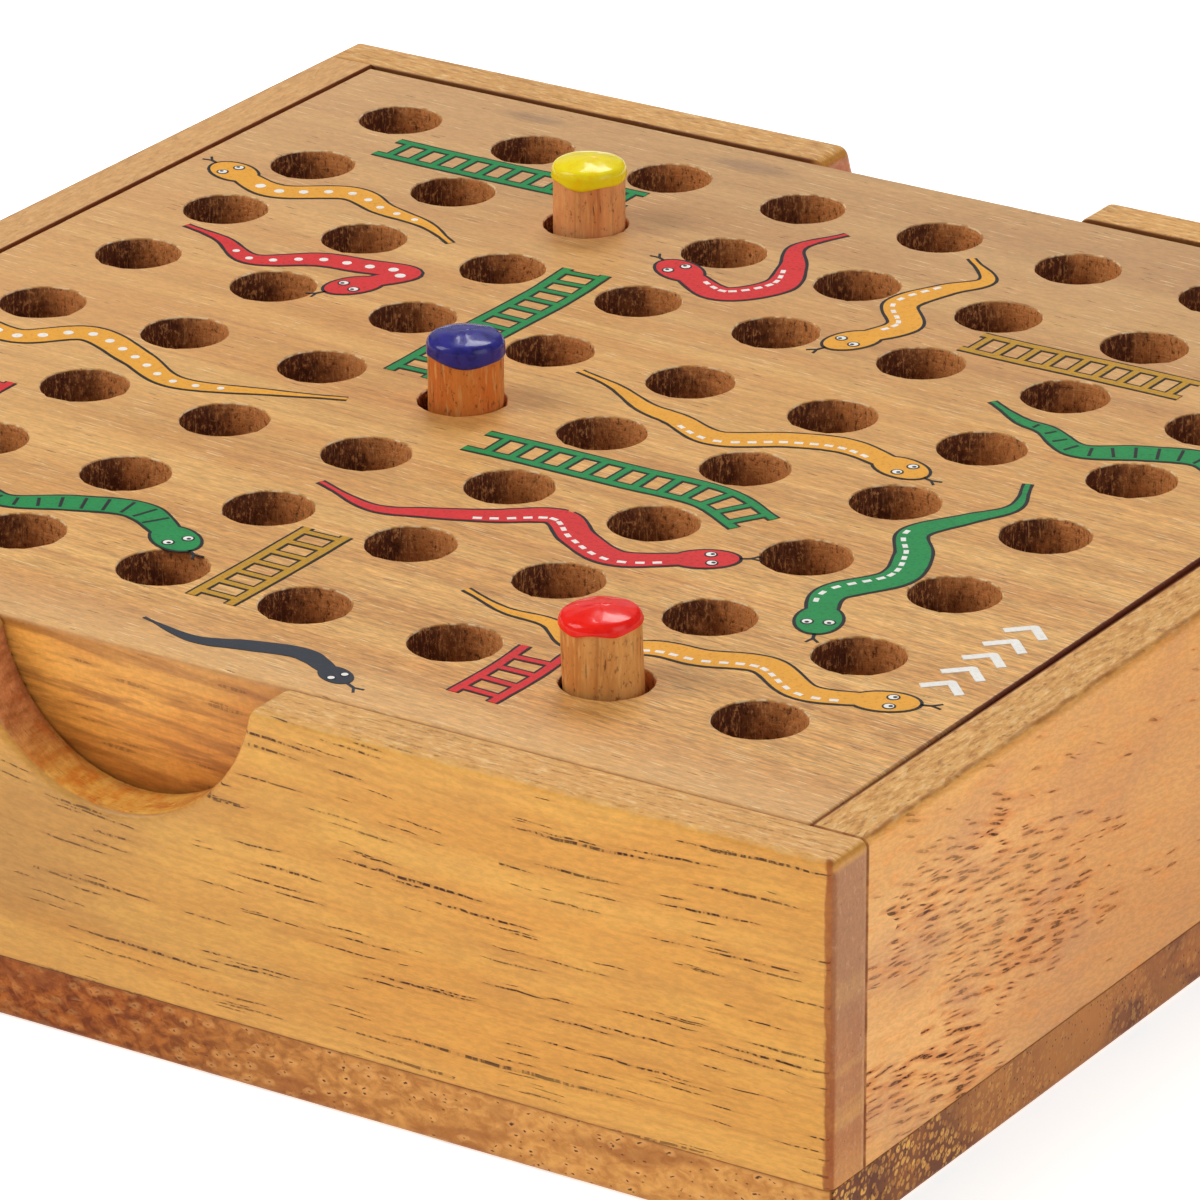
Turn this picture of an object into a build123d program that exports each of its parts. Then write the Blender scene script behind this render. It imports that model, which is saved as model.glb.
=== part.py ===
from build123d import *
import math
import os

os.makedirs("parts", exist_ok=True)

# ---------------------------------------------------------------- dimensions
box_side = 150.0        # outer width and depth of the box
box_height = 36.5       # floor to the top of the walls
base_t = 6.0            # base board, full size, under the walls
wall_t = 5.5            # wall thickness
wall_h = box_height - base_t
edge_r = 0.8            # eased outer edges of the walls
base_edge_r = 0.6       # eased bottom edge of the base board
joint_c = 0.15          # tiny arris left where two boards meet, shows as a line

half = box_side / 2
inner = half - wall_t   # half the clear inside width

notch_x = 0.6           # finger notch: centre along the wall
notch_z = 38.4          # height of the notch circle's centre
notch_r = 15.2          # radius of the notch
notch_shoulder_r = 1.3  # rounded shoulders where the notch meets the wall's top
notch_inner_r = 0.3

strip_w = 6.0           # rest strips that carry the play board
board_t = 15.0          # play board
strip_h = wall_h - board_t
board_right_front = 69.25   # the board's right edge runs slightly askew,
board_right_back = 68.40    # so its gap widens towards the back
board_left = -69.10
board_front = -69.28
board_back = 68.50
board_edge_r = 0.35

hole_r = 4.15           # peg holes, hand drilled
hole_depth = 12.0
hole_rim_c = 0.18
# columns of holes from the right wall to the left one, rows from front to back
columns_x = [54.3, 38.7, 22.8, 6.9, -8.8, -24.8, -41.0, -57.4]
rows_y = [-53.2, -36.6, -20.5, -4.7, 10.8, 26.3, 41.5, 56.9]
# each row wanders a little along its length, as hand drilling does
row_wander = [
    [0.0, -0.1, -0.1, -0.2, 0.1, 0.2, 0.0, 0.1],
    [-0.1, 0.2, 0.1, 0.0, 0.1, 0.0, -0.1, -0.3],
    [0.2, 0.4, -0.2, 0.1, -0.2, -0.3, -0.2, 0.1],
    [0.5, 0.1, -0.3, 0.0, 0.0, 0.0, 0.3, -0.4],
    [0.8, 0.2, -0.3, -0.1, -0.3, 0.0, -0.3, 0.0],
    [0.2, 0.2, 0.3, -0.2, -0.2, 0.2, -0.1, -0.6],
    [0.1, 0.1, -0.3, -0.3, 0.3, 0.0, 0.5, -0.5],
    [0.0, 0.1, -0.3, 0.0, -0.3, 0.1, -0.3, 0.0],
]
holes = [
    (columns_x[b], rows_y[a] + row_wander[a][b]) for a in range(8) for b in range(8)
]

peg_r = 3.6             # pegs
peg_len = 18.2          # foot to the rim of the top
peg_dome = 0.7          # low dome above the rim
peg_foot_c = 0.4
peg_rim_r = 0.7
hole_floor = box_height - hole_depth

die_side = 12.0
die_edge_r = 1.1
pip_r = 1.0
pip_depth = 0.5

# ---------------------------------------------------------------- base board
with BuildPart() as base_board:
    with BuildSketch(Plane.XY):
        Rectangle(box_side, box_side)
    extrude(amount=base_t)
    fillet(base_board.edges().filter_by(Axis.Z), radius=edge_r)
    fillet(base_board.faces().sort_by(Axis.Z)[0].edges(), radius=base_edge_r)
    chamfer(base_board.faces().sort_by(Axis.Z)[-1].edges(), length=joint_c)
base_board.part.label = "base_board"

# ---------------------------------------------------------------- front wall
# full width of the box, with the finger notch cut from its top edge
with BuildPart() as front_wall:
    with BuildSketch(Plane.XZ.offset(inner)) as front_profile:
        with Locations((0, base_t + wall_h / 2)):
            Rectangle(box_side, wall_h)
        with Locations((notch_x, notch_z)):
            Circle(notch_r, mode=Mode.SUBTRACT)
        fillet(
            front_profile.vertices()
            .group_by(Axis.Y)[-1]
            .sort_by(Axis.X)[1:3],
            radius=notch_shoulder_r,
        )
    extrude(amount=wall_t)
    outer_face = front_wall.faces().sort_by(Axis.Y)[0]
    rims = outer_face.edges().filter_by(
        lambda e: e.center().Z > base_t + 0.01
    )
    ends = front_wall.edges().filter_by(Axis.Y).filter_by(
        lambda e: abs(abs(e.center().X) - half) < 0.01
        and abs(e.center().Z - box_height) < 0.01
    )
    fillet(rims + ends, radius=edge_r)
    inner_notch = front_wall.edges().filter_by(
        lambda e: abs(e.center().Y + inner) < 0.01
        and e.geom_type == GeomType.CIRCLE
    )
    fillet(inner_notch, radius=notch_inner_r)
front_wall.part.label = "front_wall"

# ----------------------------------------------------------------- back wall
with BuildPart() as back_wall:
    with BuildSketch(Plane.XZ.offset(-half)) as back_profile:
        with Locations((0, base_t + wall_h / 2)):
            Rectangle(box_side, wall_h)
        with Locations((notch_x, notch_z)):
            Circle(notch_r, mode=Mode.SUBTRACT)
        fillet(
            back_profile.vertices()
            .group_by(Axis.Y)[-1]
            .sort_by(Axis.X)[1:3],
            radius=notch_shoulder_r,
        )
    extrude(amount=wall_t)
    outer_face = back_wall.faces().sort_by(Axis.Y)[-1]
    rims = outer_face.edges().filter_by(
        lambda e: e.center().Z > base_t + 0.01
    )
    ends = back_wall.edges().filter_by(Axis.Y).filter_by(
        lambda e: abs(abs(e.center().X) - half) < 0.01
        and abs(e.center().Z - box_height) < 0.01
    )
    fillet(rims + ends, radius=edge_r)
    inner_notch = back_wall.edges().filter_by(
        lambda e: abs(e.center().Y - inner) < 0.01
        and e.geom_type == GeomType.CIRCLE
    )
    fillet(inner_notch, radius=notch_inner_r)
back_wall.part.label = "back_wall"

# ---------------------------------------------------------------- side walls
# they stand between the front and back walls, on the base board
with BuildPart() as right_wall:
    with BuildSketch(Plane.XY.offset(base_t)):
        with Locations((half - wall_t / 2, 0)):
            Rectangle(wall_t, 2 * inner)
    extrude(amount=wall_h)
    fillet(
        right_wall.edges().filter_by(Axis.Y).group_by(Axis.Z)[-1].sort_by(Axis.X)[-1],
        radius=edge_r,
    )
    chamfer(
        right_wall.edges().filter_by(
            lambda e: abs(abs(e.center().Y) - inner) < 0.01
            and e.center().X > inner + 0.01
            and e.center().Z > base_t + 0.01
        ),
        length=joint_c,
    )
right_wall.part.label = "right_wall"

with BuildPart() as left_wall:
    with BuildSketch(Plane.XY.offset(base_t)):
        with Locations((-half + wall_t / 2, 0)):
            Rectangle(wall_t, 2 * inner)
    extrude(amount=wall_h)
    fillet(
        left_wall.edges().filter_by(Axis.Y).group_by(Axis.Z)[-1].sort_by(Axis.X)[0],
        radius=edge_r,
    )
    chamfer(
        left_wall.edges().filter_by(
            lambda e: abs(abs(e.center().Y) - inner) < 0.01
            and e.center().X < -inner - 0.01
            and e.center().Z > base_t + 0.01
        ),
        length=joint_c,
    )
left_wall.part.label = "left_wall"

# --------------------------------------------------------------- rest strips
# glued along the side walls inside; the play board lies on them and the
# space between them is the store for the pegs and the die
with BuildPart() as right_rest_strip:
    with BuildSketch(Plane.XY.offset(base_t)):
        with Locations((inner - strip_w / 2, 0)):
            Rectangle(strip_w, 2 * inner)
    extrude(amount=strip_h)
    chamfer(
        right_rest_strip.edges().filter_by(Axis.Y).group_by(Axis.Z)[-1].sort_by(Axis.X)[0],
        length=0.4,
    )
right_rest_strip.part.label = "right_rest_strip"

with BuildPart() as left_rest_strip:
    with BuildSketch(Plane.XY.offset(base_t)):
        with Locations((-inner + strip_w / 2, 0)):
            Rectangle(strip_w, 2 * inner)
    extrude(amount=strip_h)
    chamfer(
        left_rest_strip.edges().filter_by(Axis.Y).group_by(Axis.Z)[-1].sort_by(Axis.X)[-1],
        length=0.4,
    )
left_rest_strip.part.label = "left_rest_strip"

# ---------------------------------------------------------------- play board
with BuildPart() as play_board:
    with BuildSketch(Plane.XY.offset(box_height - board_t)) as board_outline:
        with BuildLine():
            Polyline(
                (board_left, board_front),
                (board_right_front, board_front),
                (board_right_back, board_back),
                (board_left, board_back),
                close=True,
            )
        make_face()
    extrude(amount=board_t)
    fillet(
        play_board.faces().sort_by(Axis.Z)[-1].edges()
        + play_board.faces().sort_by(Axis.Z)[0].edges(),
        radius=board_edge_r,
    )
    with BuildSketch(Plane.XY.offset(box_height)):
        with Locations(*holes):
            Circle(hole_r)
    extrude(amount=-hole_depth, mode=Mode.SUBTRACT)
    chamfer(
        play_board.edges().filter_by(GeomType.CIRCLE).filter_by(
            lambda e: abs(e.center().Z - box_height) < 0.001
        ),
        length=hole_rim_c,
    )
play_board.part.label = "play_board"


# ---------------------------------------------------------------------- pegs
def peg(foot, axis_dir, across):
    """A turned peg: flat chamfered foot, straight side, rounded rim, low dome."""
    side = Plane(origin=foot, x_dir=across, z_dir=Vector(*across).cross(Vector(*axis_dir)))
    dome_r = (peg_r**2 + peg_dome**2) / (2 * peg_dome)
    mid_x = peg_r / 2
    mid_y = peg_len + peg_dome - dome_r + math.sqrt(dome_r**2 - mid_x**2)
    with BuildPart() as turned:
        with BuildSketch(side) as half_section:
            with BuildLine():
                Polyline(
                    (0, 0),
                    (peg_r - peg_foot_c, 0),
                    (peg_r, peg_foot_c),
                    (peg_r, peg_len),
                )
                ThreePointArc(
                    (peg_r, peg_len), (mid_x, mid_y), (0, peg_len + peg_dome)
                )
                Line((0, peg_len + peg_dome), (0, 0))
            make_face()
            fillet(
                half_section.vertices().sort_by_distance(Vector(peg_r, peg_len, 0))[0],
                radius=peg_rim_r,
            )
        revolve(axis=Axis(foot, axis_dir))
    return turned


# the red peg leans in its hole, towards -X and -Y, as the loose fit lets it
lean = math.radians(2.4)
lean_dir = (-math.cos(math.radians(32.83)), -math.sin(math.radians(32.83)))
red_hole = holes[1]
red_axis = (
    lean_dir[0] * math.sin(lean),
    lean_dir[1] * math.sin(lean),
    math.cos(lean),
)
red_foot = (
    red_hole[0] - lean_dir[0] * 0.20,
    red_hole[1] - lean_dir[1] * 0.20,
    hole_floor + peg_r * math.sin(lean) + 0.02,
)
red_across = (
    lean_dir[0] * math.cos(lean),
    lean_dir[1] * math.cos(lean),
    -math.sin(lean),
)
red_peg = peg(red_foot, red_axis, red_across)
red_peg.part.label = "red_peg"

blue_hole = holes[3 * 8 + 4]
blue_peg = peg((blue_hole[0] + 0.32, blue_hole[1] + 0.20, hole_floor), (0, 0, 1), (1, 0, 0))
blue_peg.part.label = "blue_peg"

yellow_hole = holes[6 * 8 + 5]
yellow_peg = peg(
    (yellow_hole[0] + 0.28, yellow_hole[1] + 0.18, hole_floor), (0, 0, 1), (1, 0, 0)
)
yellow_peg.part.label = "yellow_peg"

# the fourth peg lies in the store under the board, along +Y
green_peg = peg((-56.0, -40.0, base_t + peg_r + 0.05), (0, 1, 0), (1, 0, 0))
green_peg.part.label = "green_peg"

# ----------------------------------------------------------------------- die
die_at = (-54.0, 22.0, base_t + die_side / 2)
quarter = die_side / 4
# (outward direction, direction across, pip places) for each face
faces_of_pips = [
    ((0, 0, 1), (1, 0, 0), [(0, 0)]),
    ((0, 0, -1), (1, 0, 0), [(-1, -1), (-1, 0), (-1, 1), (1, -1), (1, 0), (1, 1)]),
    ((1, 0, 0), (0, 1, 0), [(-1, -1), (1, 1)]),
    ((-1, 0, 0), (0, 1, 0), [(-1, -1), (-1, 1), (0, 0), (1, -1), (1, 1)]),
    ((0, 1, 0), (1, 0, 0), [(-1, -1), (0, 0), (1, 1)]),
    ((0, -1, 0), (1, 0, 0), [(-1, -1), (-1, 1), (1, -1), (1, 1)]),
]
with BuildPart() as die:
    with Locations(die_at):
        Box(die_side, die_side, die_side)
    fillet(die.edges(), radius=die_edge_r)
    for out, across, places in faces_of_pips:
        face_at = tuple(die_at[k] + out[k] * die_side / 2 for k in range(3))
        with BuildSketch(Plane(origin=face_at, x_dir=across, z_dir=out)):
            with Locations(*[(a * quarter, b * quarter) for a, b in places]):
                Circle(pip_r)
        extrude(amount=-pip_depth, taper=40, mode=Mode.SUBTRACT)
die.part.label = "die"

# -------------------------------------------------------------------- export
for piece in (
    base_board,
    front_wall,
    back_wall,
    right_wall,
    left_wall,
    right_rest_strip,
    left_rest_strip,
    play_board,
    red_peg,
    blue_peg,
    yellow_peg,
    green_peg,
    die,
):
    export_step(piece.part, f"parts/{piece.part.label}.step")
    box = piece.part.bounding_box()
    print(piece.part.label, round(piece.part.volume, 1), box.min, box.max)
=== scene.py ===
import math
import random

import bmesh
import bpy
from mathutils import Matrix, Vector, geometry, noise


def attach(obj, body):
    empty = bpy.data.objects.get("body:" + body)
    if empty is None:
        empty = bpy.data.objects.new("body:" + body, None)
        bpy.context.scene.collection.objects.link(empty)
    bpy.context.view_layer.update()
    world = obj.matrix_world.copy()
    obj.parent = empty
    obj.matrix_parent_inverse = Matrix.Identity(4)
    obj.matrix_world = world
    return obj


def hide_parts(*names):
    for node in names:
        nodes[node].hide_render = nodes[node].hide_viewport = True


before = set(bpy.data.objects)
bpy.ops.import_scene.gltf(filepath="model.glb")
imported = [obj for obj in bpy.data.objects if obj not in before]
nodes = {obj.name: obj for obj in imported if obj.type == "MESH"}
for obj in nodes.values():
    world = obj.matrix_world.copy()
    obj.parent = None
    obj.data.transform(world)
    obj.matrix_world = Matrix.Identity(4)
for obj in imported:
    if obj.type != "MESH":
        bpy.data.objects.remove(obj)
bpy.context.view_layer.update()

MM = 0.001
TOP = 36.5            # height of the playing surface, mm
HOLE_R = 4.15
HOLE_FLOOR = 24.5
COLUMNS_X = [54.3, 38.7, 22.8, 6.9, -8.8, -24.8, -41.0, -57.4]
ROWS_Y = [-53.2, -36.6, -20.5, -4.7, 10.8, 26.3, 41.5, 56.9]
ROW_WANDER = [
    [0.0, -0.1, -0.1, -0.2, 0.1, 0.2, 0.0, 0.1],
    [-0.1, 0.2, 0.1, 0.0, 0.1, 0.0, -0.1, -0.3],
    [0.2, 0.4, -0.2, 0.1, -0.2, -0.3, -0.2, 0.1],
    [0.5, 0.1, -0.3, 0.0, 0.0, 0.0, 0.3, -0.4],
    [0.8, 0.2, -0.3, -0.1, -0.3, 0.0, -0.3, 0.0],
    [0.2, 0.2, 0.3, -0.2, -0.2, 0.2, -0.1, -0.6],
    [0.1, 0.1, -0.3, -0.3, 0.3, 0.0, 0.5, -0.5],
    [0.0, 0.1, -0.3, 0.0, -0.3, 0.1, -0.3, 0.0],
]
HOLES = [
    (COLUMNS_X[b], ROWS_Y[a] + ROW_WANDER[a][b]) for a in range(8) for b in range(8)
]


# ------------------------------------------------------------------ node graphs
def srgb(r, g, b):
    """A colour given as 0-255 display values, as linear RGBA."""
    out = []
    for v in (r, g, b):
        v /= 255.0
        out.append(v / 12.92 if v <= 0.04045 else ((v + 0.055) / 1.055) ** 2.4)
    return (*out, 1.0)


class Graph:
    """A material's node tree, built by short calls. Lengths in it are millimetres in the row frame at rest."""

    def __init__(self, name):
        self.mat = bpy.data.materials.new(name)
        self.mat.use_nodes = True
        self.tree = self.mat.node_tree
        self.tree.nodes.clear()
        self.tex = self.new("ShaderNodeTexCoord")
        self.P = self.vmath("SCALE", self.tex.outputs["Object"], scale=1000.0)
        self.x, self.y, self.z = self.split(self.P)
        self.nx, self.ny, self.nz = self.split(self.tex.outputs["Normal"])

    def new(self, kind, **props):
        n = self.tree.nodes.new(kind)
        for k, v in props.items():
            setattr(n, k, v)
        return n

    def put(self, socket, value):
        if isinstance(value, bpy.types.NodeSocket):
            self.tree.links.new(value, socket)
        elif value is not None:
            socket.default_value = value

    def math(self, op, a, b=None, c=None, clamp=False):
        n = self.new("ShaderNodeMath", operation=op, use_clamp=clamp)
        for s, v in zip(n.inputs, (a, b, c)):
            self.put(s, v)
        return n.outputs[0]

    def add(self, a, b): return self.math("ADD", a, b)
    def sub(self, a, b): return self.math("SUBTRACT", a, b)
    def mul(self, a, b): return self.math("MULTIPLY", a, b)
    def mad(self, a, b, c): return self.math("MULTIPLY_ADD", a, b, c)
    def abs(self, a): return self.math("ABSOLUTE", a)
    def lt(self, a, b): return self.math("LESS_THAN", a, b)
    def gt(self, a, b): return self.math("GREATER_THAN", a, b)
    def min(self, a, b): return self.math("MINIMUM", a, b)
    def max(self, a, b): return self.math("MAXIMUM", a, b)

    def total(self, *values):
        out = values[0]
        for v in values[1:]:
            out = self.add(out, v)
        return out

    def product(self, *values):
        out = values[0]
        for v in values[1:]:
            out = self.mul(out, v)
        return out

    def vmath(self, op, a, b=None, scale=None):
        n = self.new("ShaderNodeVectorMath", operation=op)
        self.put(n.inputs[0], a)
        if b is not None:
            self.put(n.inputs[1], b)
        if scale is not None:
            n.inputs["Scale"].default_value = scale
        return n.outputs["Value"] if op in ("LENGTH", "DISTANCE", "DOT_PRODUCT") else n.outputs[0]

    def split(self, v):
        n = self.new("ShaderNodeSeparateXYZ")
        self.put(n.inputs[0], v)
        return n.outputs

    def vec(self, x, y=0.0, z=0.0):
        n = self.new("ShaderNodeCombineXYZ")
        for s, v in zip(n.inputs, (x, y, z)):
            self.put(s, v)
        return n.outputs[0]

    def noise(self, v, scale=1.0, detail=2.0, rough=0.5, dist=0.0, dims="3D", out="Fac"):
        n = self.new("ShaderNodeTexNoise", noise_dimensions=dims)
        self.put(n.inputs["Vector"], v)
        n.inputs["Scale"].default_value = scale
        n.inputs["Detail"].default_value = detail
        n.inputs["Roughness"].default_value = rough
        n.inputs["Distortion"].default_value = dist
        return n.outputs[out]

    def voronoi(self, v, scale=1.0, dims="2D", feature="F1", rand=1.0, smooth=None):
        n = self.new("ShaderNodeTexVoronoi", voronoi_dimensions=dims, feature=feature)
        self.put(n.inputs["Vector"], v)
        n.inputs["Scale"].default_value = scale
        n.inputs["Randomness"].default_value = rand
        if smooth is not None:
            n.inputs["Smoothness"].default_value = smooth
        return n

    def step(self, x, lo, hi):
        """0 below lo, 1 above hi, smooth between. With lo above hi it falls instead."""
        n = self.new("ShaderNodeMapRange", interpolation_type="SMOOTHSTEP")
        flip = not isinstance(lo, bpy.types.NodeSocket) and not isinstance(hi, bpy.types.NodeSocket) and lo > hi
        self.put(n.inputs["Value"], x)
        self.put(n.inputs["From Min"], hi if flip else lo)
        self.put(n.inputs["From Max"], lo if flip else hi)
        n.inputs["To Min"].default_value = 1.0 if flip else 0.0
        n.inputs["To Max"].default_value = 0.0 if flip else 1.0
        return n.outputs[0]

    def fall(self, x, lo, hi):
        """1 below lo, 0 above hi, for sockets."""
        return self.sub(1.0, self.step(x, lo, hi))

    def mix(self, fac, a, b, mode="MIX"):
        n = self.new("ShaderNodeMix", data_type="RGBA", blend_type=mode, clamp_factor=True)
        self.put(n.inputs[0], fac)
        self.put(n.inputs[6], a)
        self.put(n.inputs[7], b)
        return n.outputs[2]

    def lerp(self, fac, a, b):
        n = self.new("ShaderNodeMix", data_type="FLOAT", clamp_factor=True)
        self.put(n.inputs[0], fac)
        self.put(n.inputs[2], a)
        self.put(n.inputs[3], b)
        return n.outputs[0]

    def gain(self, colour, amount):
        """Colour times a number."""
        return self.mix(1.0, colour, self.vec(amount, amount, amount), "MULTIPLY")

    def bump(self, height, strength=1.0, distance=MM, normal=None):
        n = self.new("ShaderNodeBump")
        n.inputs["Strength"].default_value = strength
        n.inputs["Distance"].default_value = distance
        self.put(n.inputs["Height"], height)
        if normal is not None:
            self.put(n.inputs["Normal"], normal)
        return n.outputs[0]

    def shader(self, colour, rough, normal=None, coat=None, coat_rough=0.15, coat_normal=None, spec=0.5, **extra):
        n = self.new("ShaderNodeBsdfPrincipled")
        self.put(n.inputs["Base Color"], colour)
        self.put(n.inputs["Roughness"], rough)
        n.inputs["Specular IOR Level"].default_value = spec
        if normal is not None:
            self.put(n.inputs["Normal"], normal)
        if coat:
            n.inputs["Coat Weight"].default_value = coat
            n.inputs["Coat Roughness"].default_value = coat_rough
            if coat_normal is not None:
                self.put(n.inputs["Coat Normal"], coat_normal)
        for k, v in extra.items():
            n.inputs[k.replace("_", " ")].default_value = v
        out = self.new("ShaderNodeOutputMaterial")
        self.put(out.inputs["Surface"], n.outputs[0])
        return self.mat


# ------------------------------------------------------------------------ wood
def pore_layer(g, u, v, length, pitch, width, seed, keep=1.0, bead=1.6, halo=3.0, soft=0.68, bead_floor=0.3):
    """Open pores cut along the grain: thin broken dashes. Returns (dash, halo, random) masks on the face's own
    coordinates u, along the grain, and v, across it. keep is the share of cells that hold one."""
    p = g.vec(g.mad(u, 1.0 / length, seed * 3.17), g.mad(v, 1.0 / pitch, seed * 1.71))
    cell = g.voronoi(p)
    r, gr, b = g.split(cell.outputs["Color"])
    there = g.lt(r, keep)
    half = g.mul(g.mad(gr, 1.0, 0.5), width / pitch / 2)
    d = cell.outputs["Distance"]
    core = g.product(g.fall(d, g.mul(half, soft), half), there)
    if bead:
        beads = g.noise(g.vec(g.mul(u, bead), g.mul(v, 1.5 / pitch), seed), detail=1.0)
        core = g.mul(core, g.mad(g.step(beads, 0.36, 0.58), 1.0 - bead_floor, bead_floor))
    near = g.product(g.fall(d, half, g.mul(half, halo)), there)
    return core, near, b


def grain_frame(g, along):
    """Coordinates a along the grain, b and c across it, and per-face ones: u, v in the face and how far the face is
    end grain."""
    x, y, z = g.x, g.y, g.z
    nx, ny, nz = g.nx, g.ny, g.nz
    a, b, c, na, nb, nc = {
        "x": (x, z, y, nx, nz, ny),
        "y": (y, z, x, ny, nz, nx),
        "z": (z, x, y, nz, nx, ny),
    }[along]
    na, nb, nc = g.abs(na), g.abs(nb), g.abs(nc)
    end = g.step(na, 0.55, 0.85)
    is_end = g.gt(na, 0.7)
    is_top = g.gt(nb, nc)
    side_v = g.lerp(is_top, b, g.add(c, 37.3))
    u = g.lerp(is_end, a, b)
    v = g.lerp(is_end, side_v, c)
    return a, b, c, u, v, end, is_top


def wood(name, along, base, warm, streak, seed, *, pores=((40, 0.8, 0.15, 0.7),), pore_dark=(60, 30, 14),
         pore_strength=0.92, flow=None, band_scale=1.0, band_amt=0.55, fibre_amt=0.10, streak_amt=0.5,
         end_base=(150, 96, 58), end_warm=None, end_pitch=(0.7, 0.9), end_dot=0.16, end_share=0.5, end_light=None,
         rough=0.44, coat=0.11, coat_rough=0.30, spec=0.24, fleck=None, smear=0.0, extra=None, wave=0.03, cluster_scale=1.0,
         cluster_lo=0.30, cluster_hi=0.62, halo_amt=0.22, bead=1.6, bead_floor=0.3, crowd=None,
         micro=0.08):
    """Solid wood with its grain along one axis. pores are layers of (length, pitch, width, share of cells) and, if
    wanted, (slant, four heights across the grain between which the layer fades in and out)."""
    g = Graph(name)
    a, b, c, u, v, end, is_top = grain_frame(g, along)
    lateral = g.sub(1.0, end)

    # the grain wanders off the board's own axis
    wander = g.sub(g.noise(g.vec(g.mul(a, 1 / 70), g.mul(b, 1 / 30), g.mad(c, 1 / 30, seed)), detail=1.0), 0.5)
    tilt = g.mul(wander, 6.0)
    if flow:
        tilt = g.add(tilt, flow(g, a, b, c))
    b2, v2 = g.add(b, tilt), g.add(v, g.mul(tilt, lateral))

    # broad bands, then streaks, then fibre
    solid = g.vec(g.mad(a, 1 / 60, seed), g.mul(b2, 1 / 9 * band_scale), g.mul(c, 1 / 9 * band_scale))
    bands = g.step(g.noise(solid, detail=2.5, rough=0.55, dist=0.5), 0.36, 0.66)
    colour = g.mix(g.mul(bands, band_amt), srgb(*base), srgb(*warm))
    lines = g.noise(g.vec(g.mad(a, 1 / 38, seed * 2), g.mul(b2, 1.15), g.mul(c, 1.15)), detail=3.0, rough=0.62)
    colour = g.mix(g.mul(g.step(lines, 0.52, 0.78), streak_amt), colour, srgb(*streak))
    fine = g.noise(g.vec(g.mul(a, 1 / 5), g.mul(b2, 6.5), g.mad(c, 6.5, seed)), detail=2.0, rough=0.6)
    colour = g.gain(colour, g.mad(fine, fibre_amt * 2, 1.0 - fibre_amt))
    cloud = g.noise(g.vec(g.mad(a, 1 / 24, seed * 5), g.mul(b2, 1 / 8), g.mul(c, 1 / 8)), detail=2.0)
    colour = g.gain(colour, g.mad(cloud, 0.22, 0.89))
    specks = g.noise(g.vec(g.mul(a, 0.9), g.mul(b2, 2.8), g.mad(c, 2.8, seed)), detail=2.0, rough=0.8)
    specks = g.mad(g.step(specks, 0.36, 0.64), micro, 1.0 - micro / 2)

    # clusters of open pores, cut along their length on the sides
    cluster = g.noise(g.vec(g.mad(a, cluster_scale / 30, seed * 7), g.mul(b2, cluster_scale / 5), g.mul(c, cluster_scale / 5)), detail=1.5)
    if crowd:
        cluster = g.add(cluster, crowd(g, a, b, c))
    thick = g.step(cluster, cluster_lo, cluster_hi)
    wig = g.mul(g.sub(g.noise(g.vec(g.mul(u, 0.35), g.mul(v2, 0.3), seed), detail=1.0), 0.5), 0.35)
    vw = g.add(v2, wig)
    if smear:
        _, soft, _ = pore_layer(g, u, g.add(v2, 5.5), 46, 1.9, 0.30, seed=seed + 2.9, keep=0.45, bead=0, halo=2.6)
        colour = g.mix(g.product(soft, lateral, smear), colour, srgb(*streak))
    dash = halo = None
    for k, (length, pitch, width, share, *place) in enumerate(pores):
        keep, across = g.mul(thick, share), vw
        if place:
            slant, in0, in1, out0, out1 = place
            across = g.mad(u, slant, vw)
            keep = g.product(keep, g.step(b, in0, in1), g.step(b, out1, out0))
        d1, h1, _ = pore_layer(g, u, across, length, pitch, width, seed=seed + 4.3 * k, keep=keep, bead=bead,
                               bead_floor=bead_floor)
        dash = d1 if dash is None else g.max(dash, d1)
        halo = h1 if halo is None else g.max(halo, h1)
    dash, halo = g.mul(dash, lateral), g.mul(halo, lateral)
    colour = g.mix(g.mul(halo, halo_amt), colour, srgb(*streak))
    colour = g.mix(g.mul(dash, pore_strength), colour, srgb(*pore_dark))
    height = g.mul(dash, -0.06)

    if fleck:
        light, light_keep, length, pitch, width, amount = fleck
        fl, fh, _ = pore_layer(g, u, g.add(vw, 3.1), length, pitch, width, seed=seed + 9.7, keep=light_keep, bead=1.1)
        colour = g.mix(g.product(fl, lateral, amount), colour, srgb(*light))

    # end grain: round pores, some in pairs, with pale tissue round them
    e_low = g.noise(g.vec(g.mul(u, 0.14), g.mul(v, 0.30), seed * 3), detail=2.0)
    e_warm = end_warm or [min(255, k * 1.13 + 5) for k in end_base]
    end_col = g.mix(g.step(e_low, 0.35, 0.65), srgb(*end_base), srgb(*e_warm))
    e_fine = g.noise(g.vec(g.mul(u, 2.4), g.mul(v, 4.5), seed), detail=3.0, rough=0.65)
    end_col = g.gain(end_col, g.mad(e_fine, 0.36, 0.82))
    ec = g.voronoi(g.vec(g.mad(u, 1 / end_pitch[0], seed), g.mul(v, 1 / end_pitch[1])))
    er, eg, eb = g.split(ec.outputs["Color"])
    ed = ec.outputs["Distance"]
    half = g.mul(g.mad(eg, 0.8, 0.6), end_dot / end_pitch[0] / 2)
    dots = g.mul(g.fall(ed, g.mul(half, 0.6), half), g.lt(er, end_share))
    if end_light:
        ring = g.mul(g.fall(ed, g.mul(half, 1.2), g.mul(half, 3.4)), g.lt(er, end_share + 0.25))
        ring = g.mul(ring, g.mad(g.noise(g.vec(u, v, seed), scale=1.6, detail=2.0), 0.9, 0.35))
        end_col = g.mix(g.mul(ring, 0.8), end_col, srgb(*end_light))
    end_col = g.mix(g.mul(dots, 0.85), end_col, srgb(44, 22, 12))
    colour = g.mix(end, colour, end_col)
    height = g.sub(height, g.mul(g.mul(dots, end), 0.05))

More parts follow.
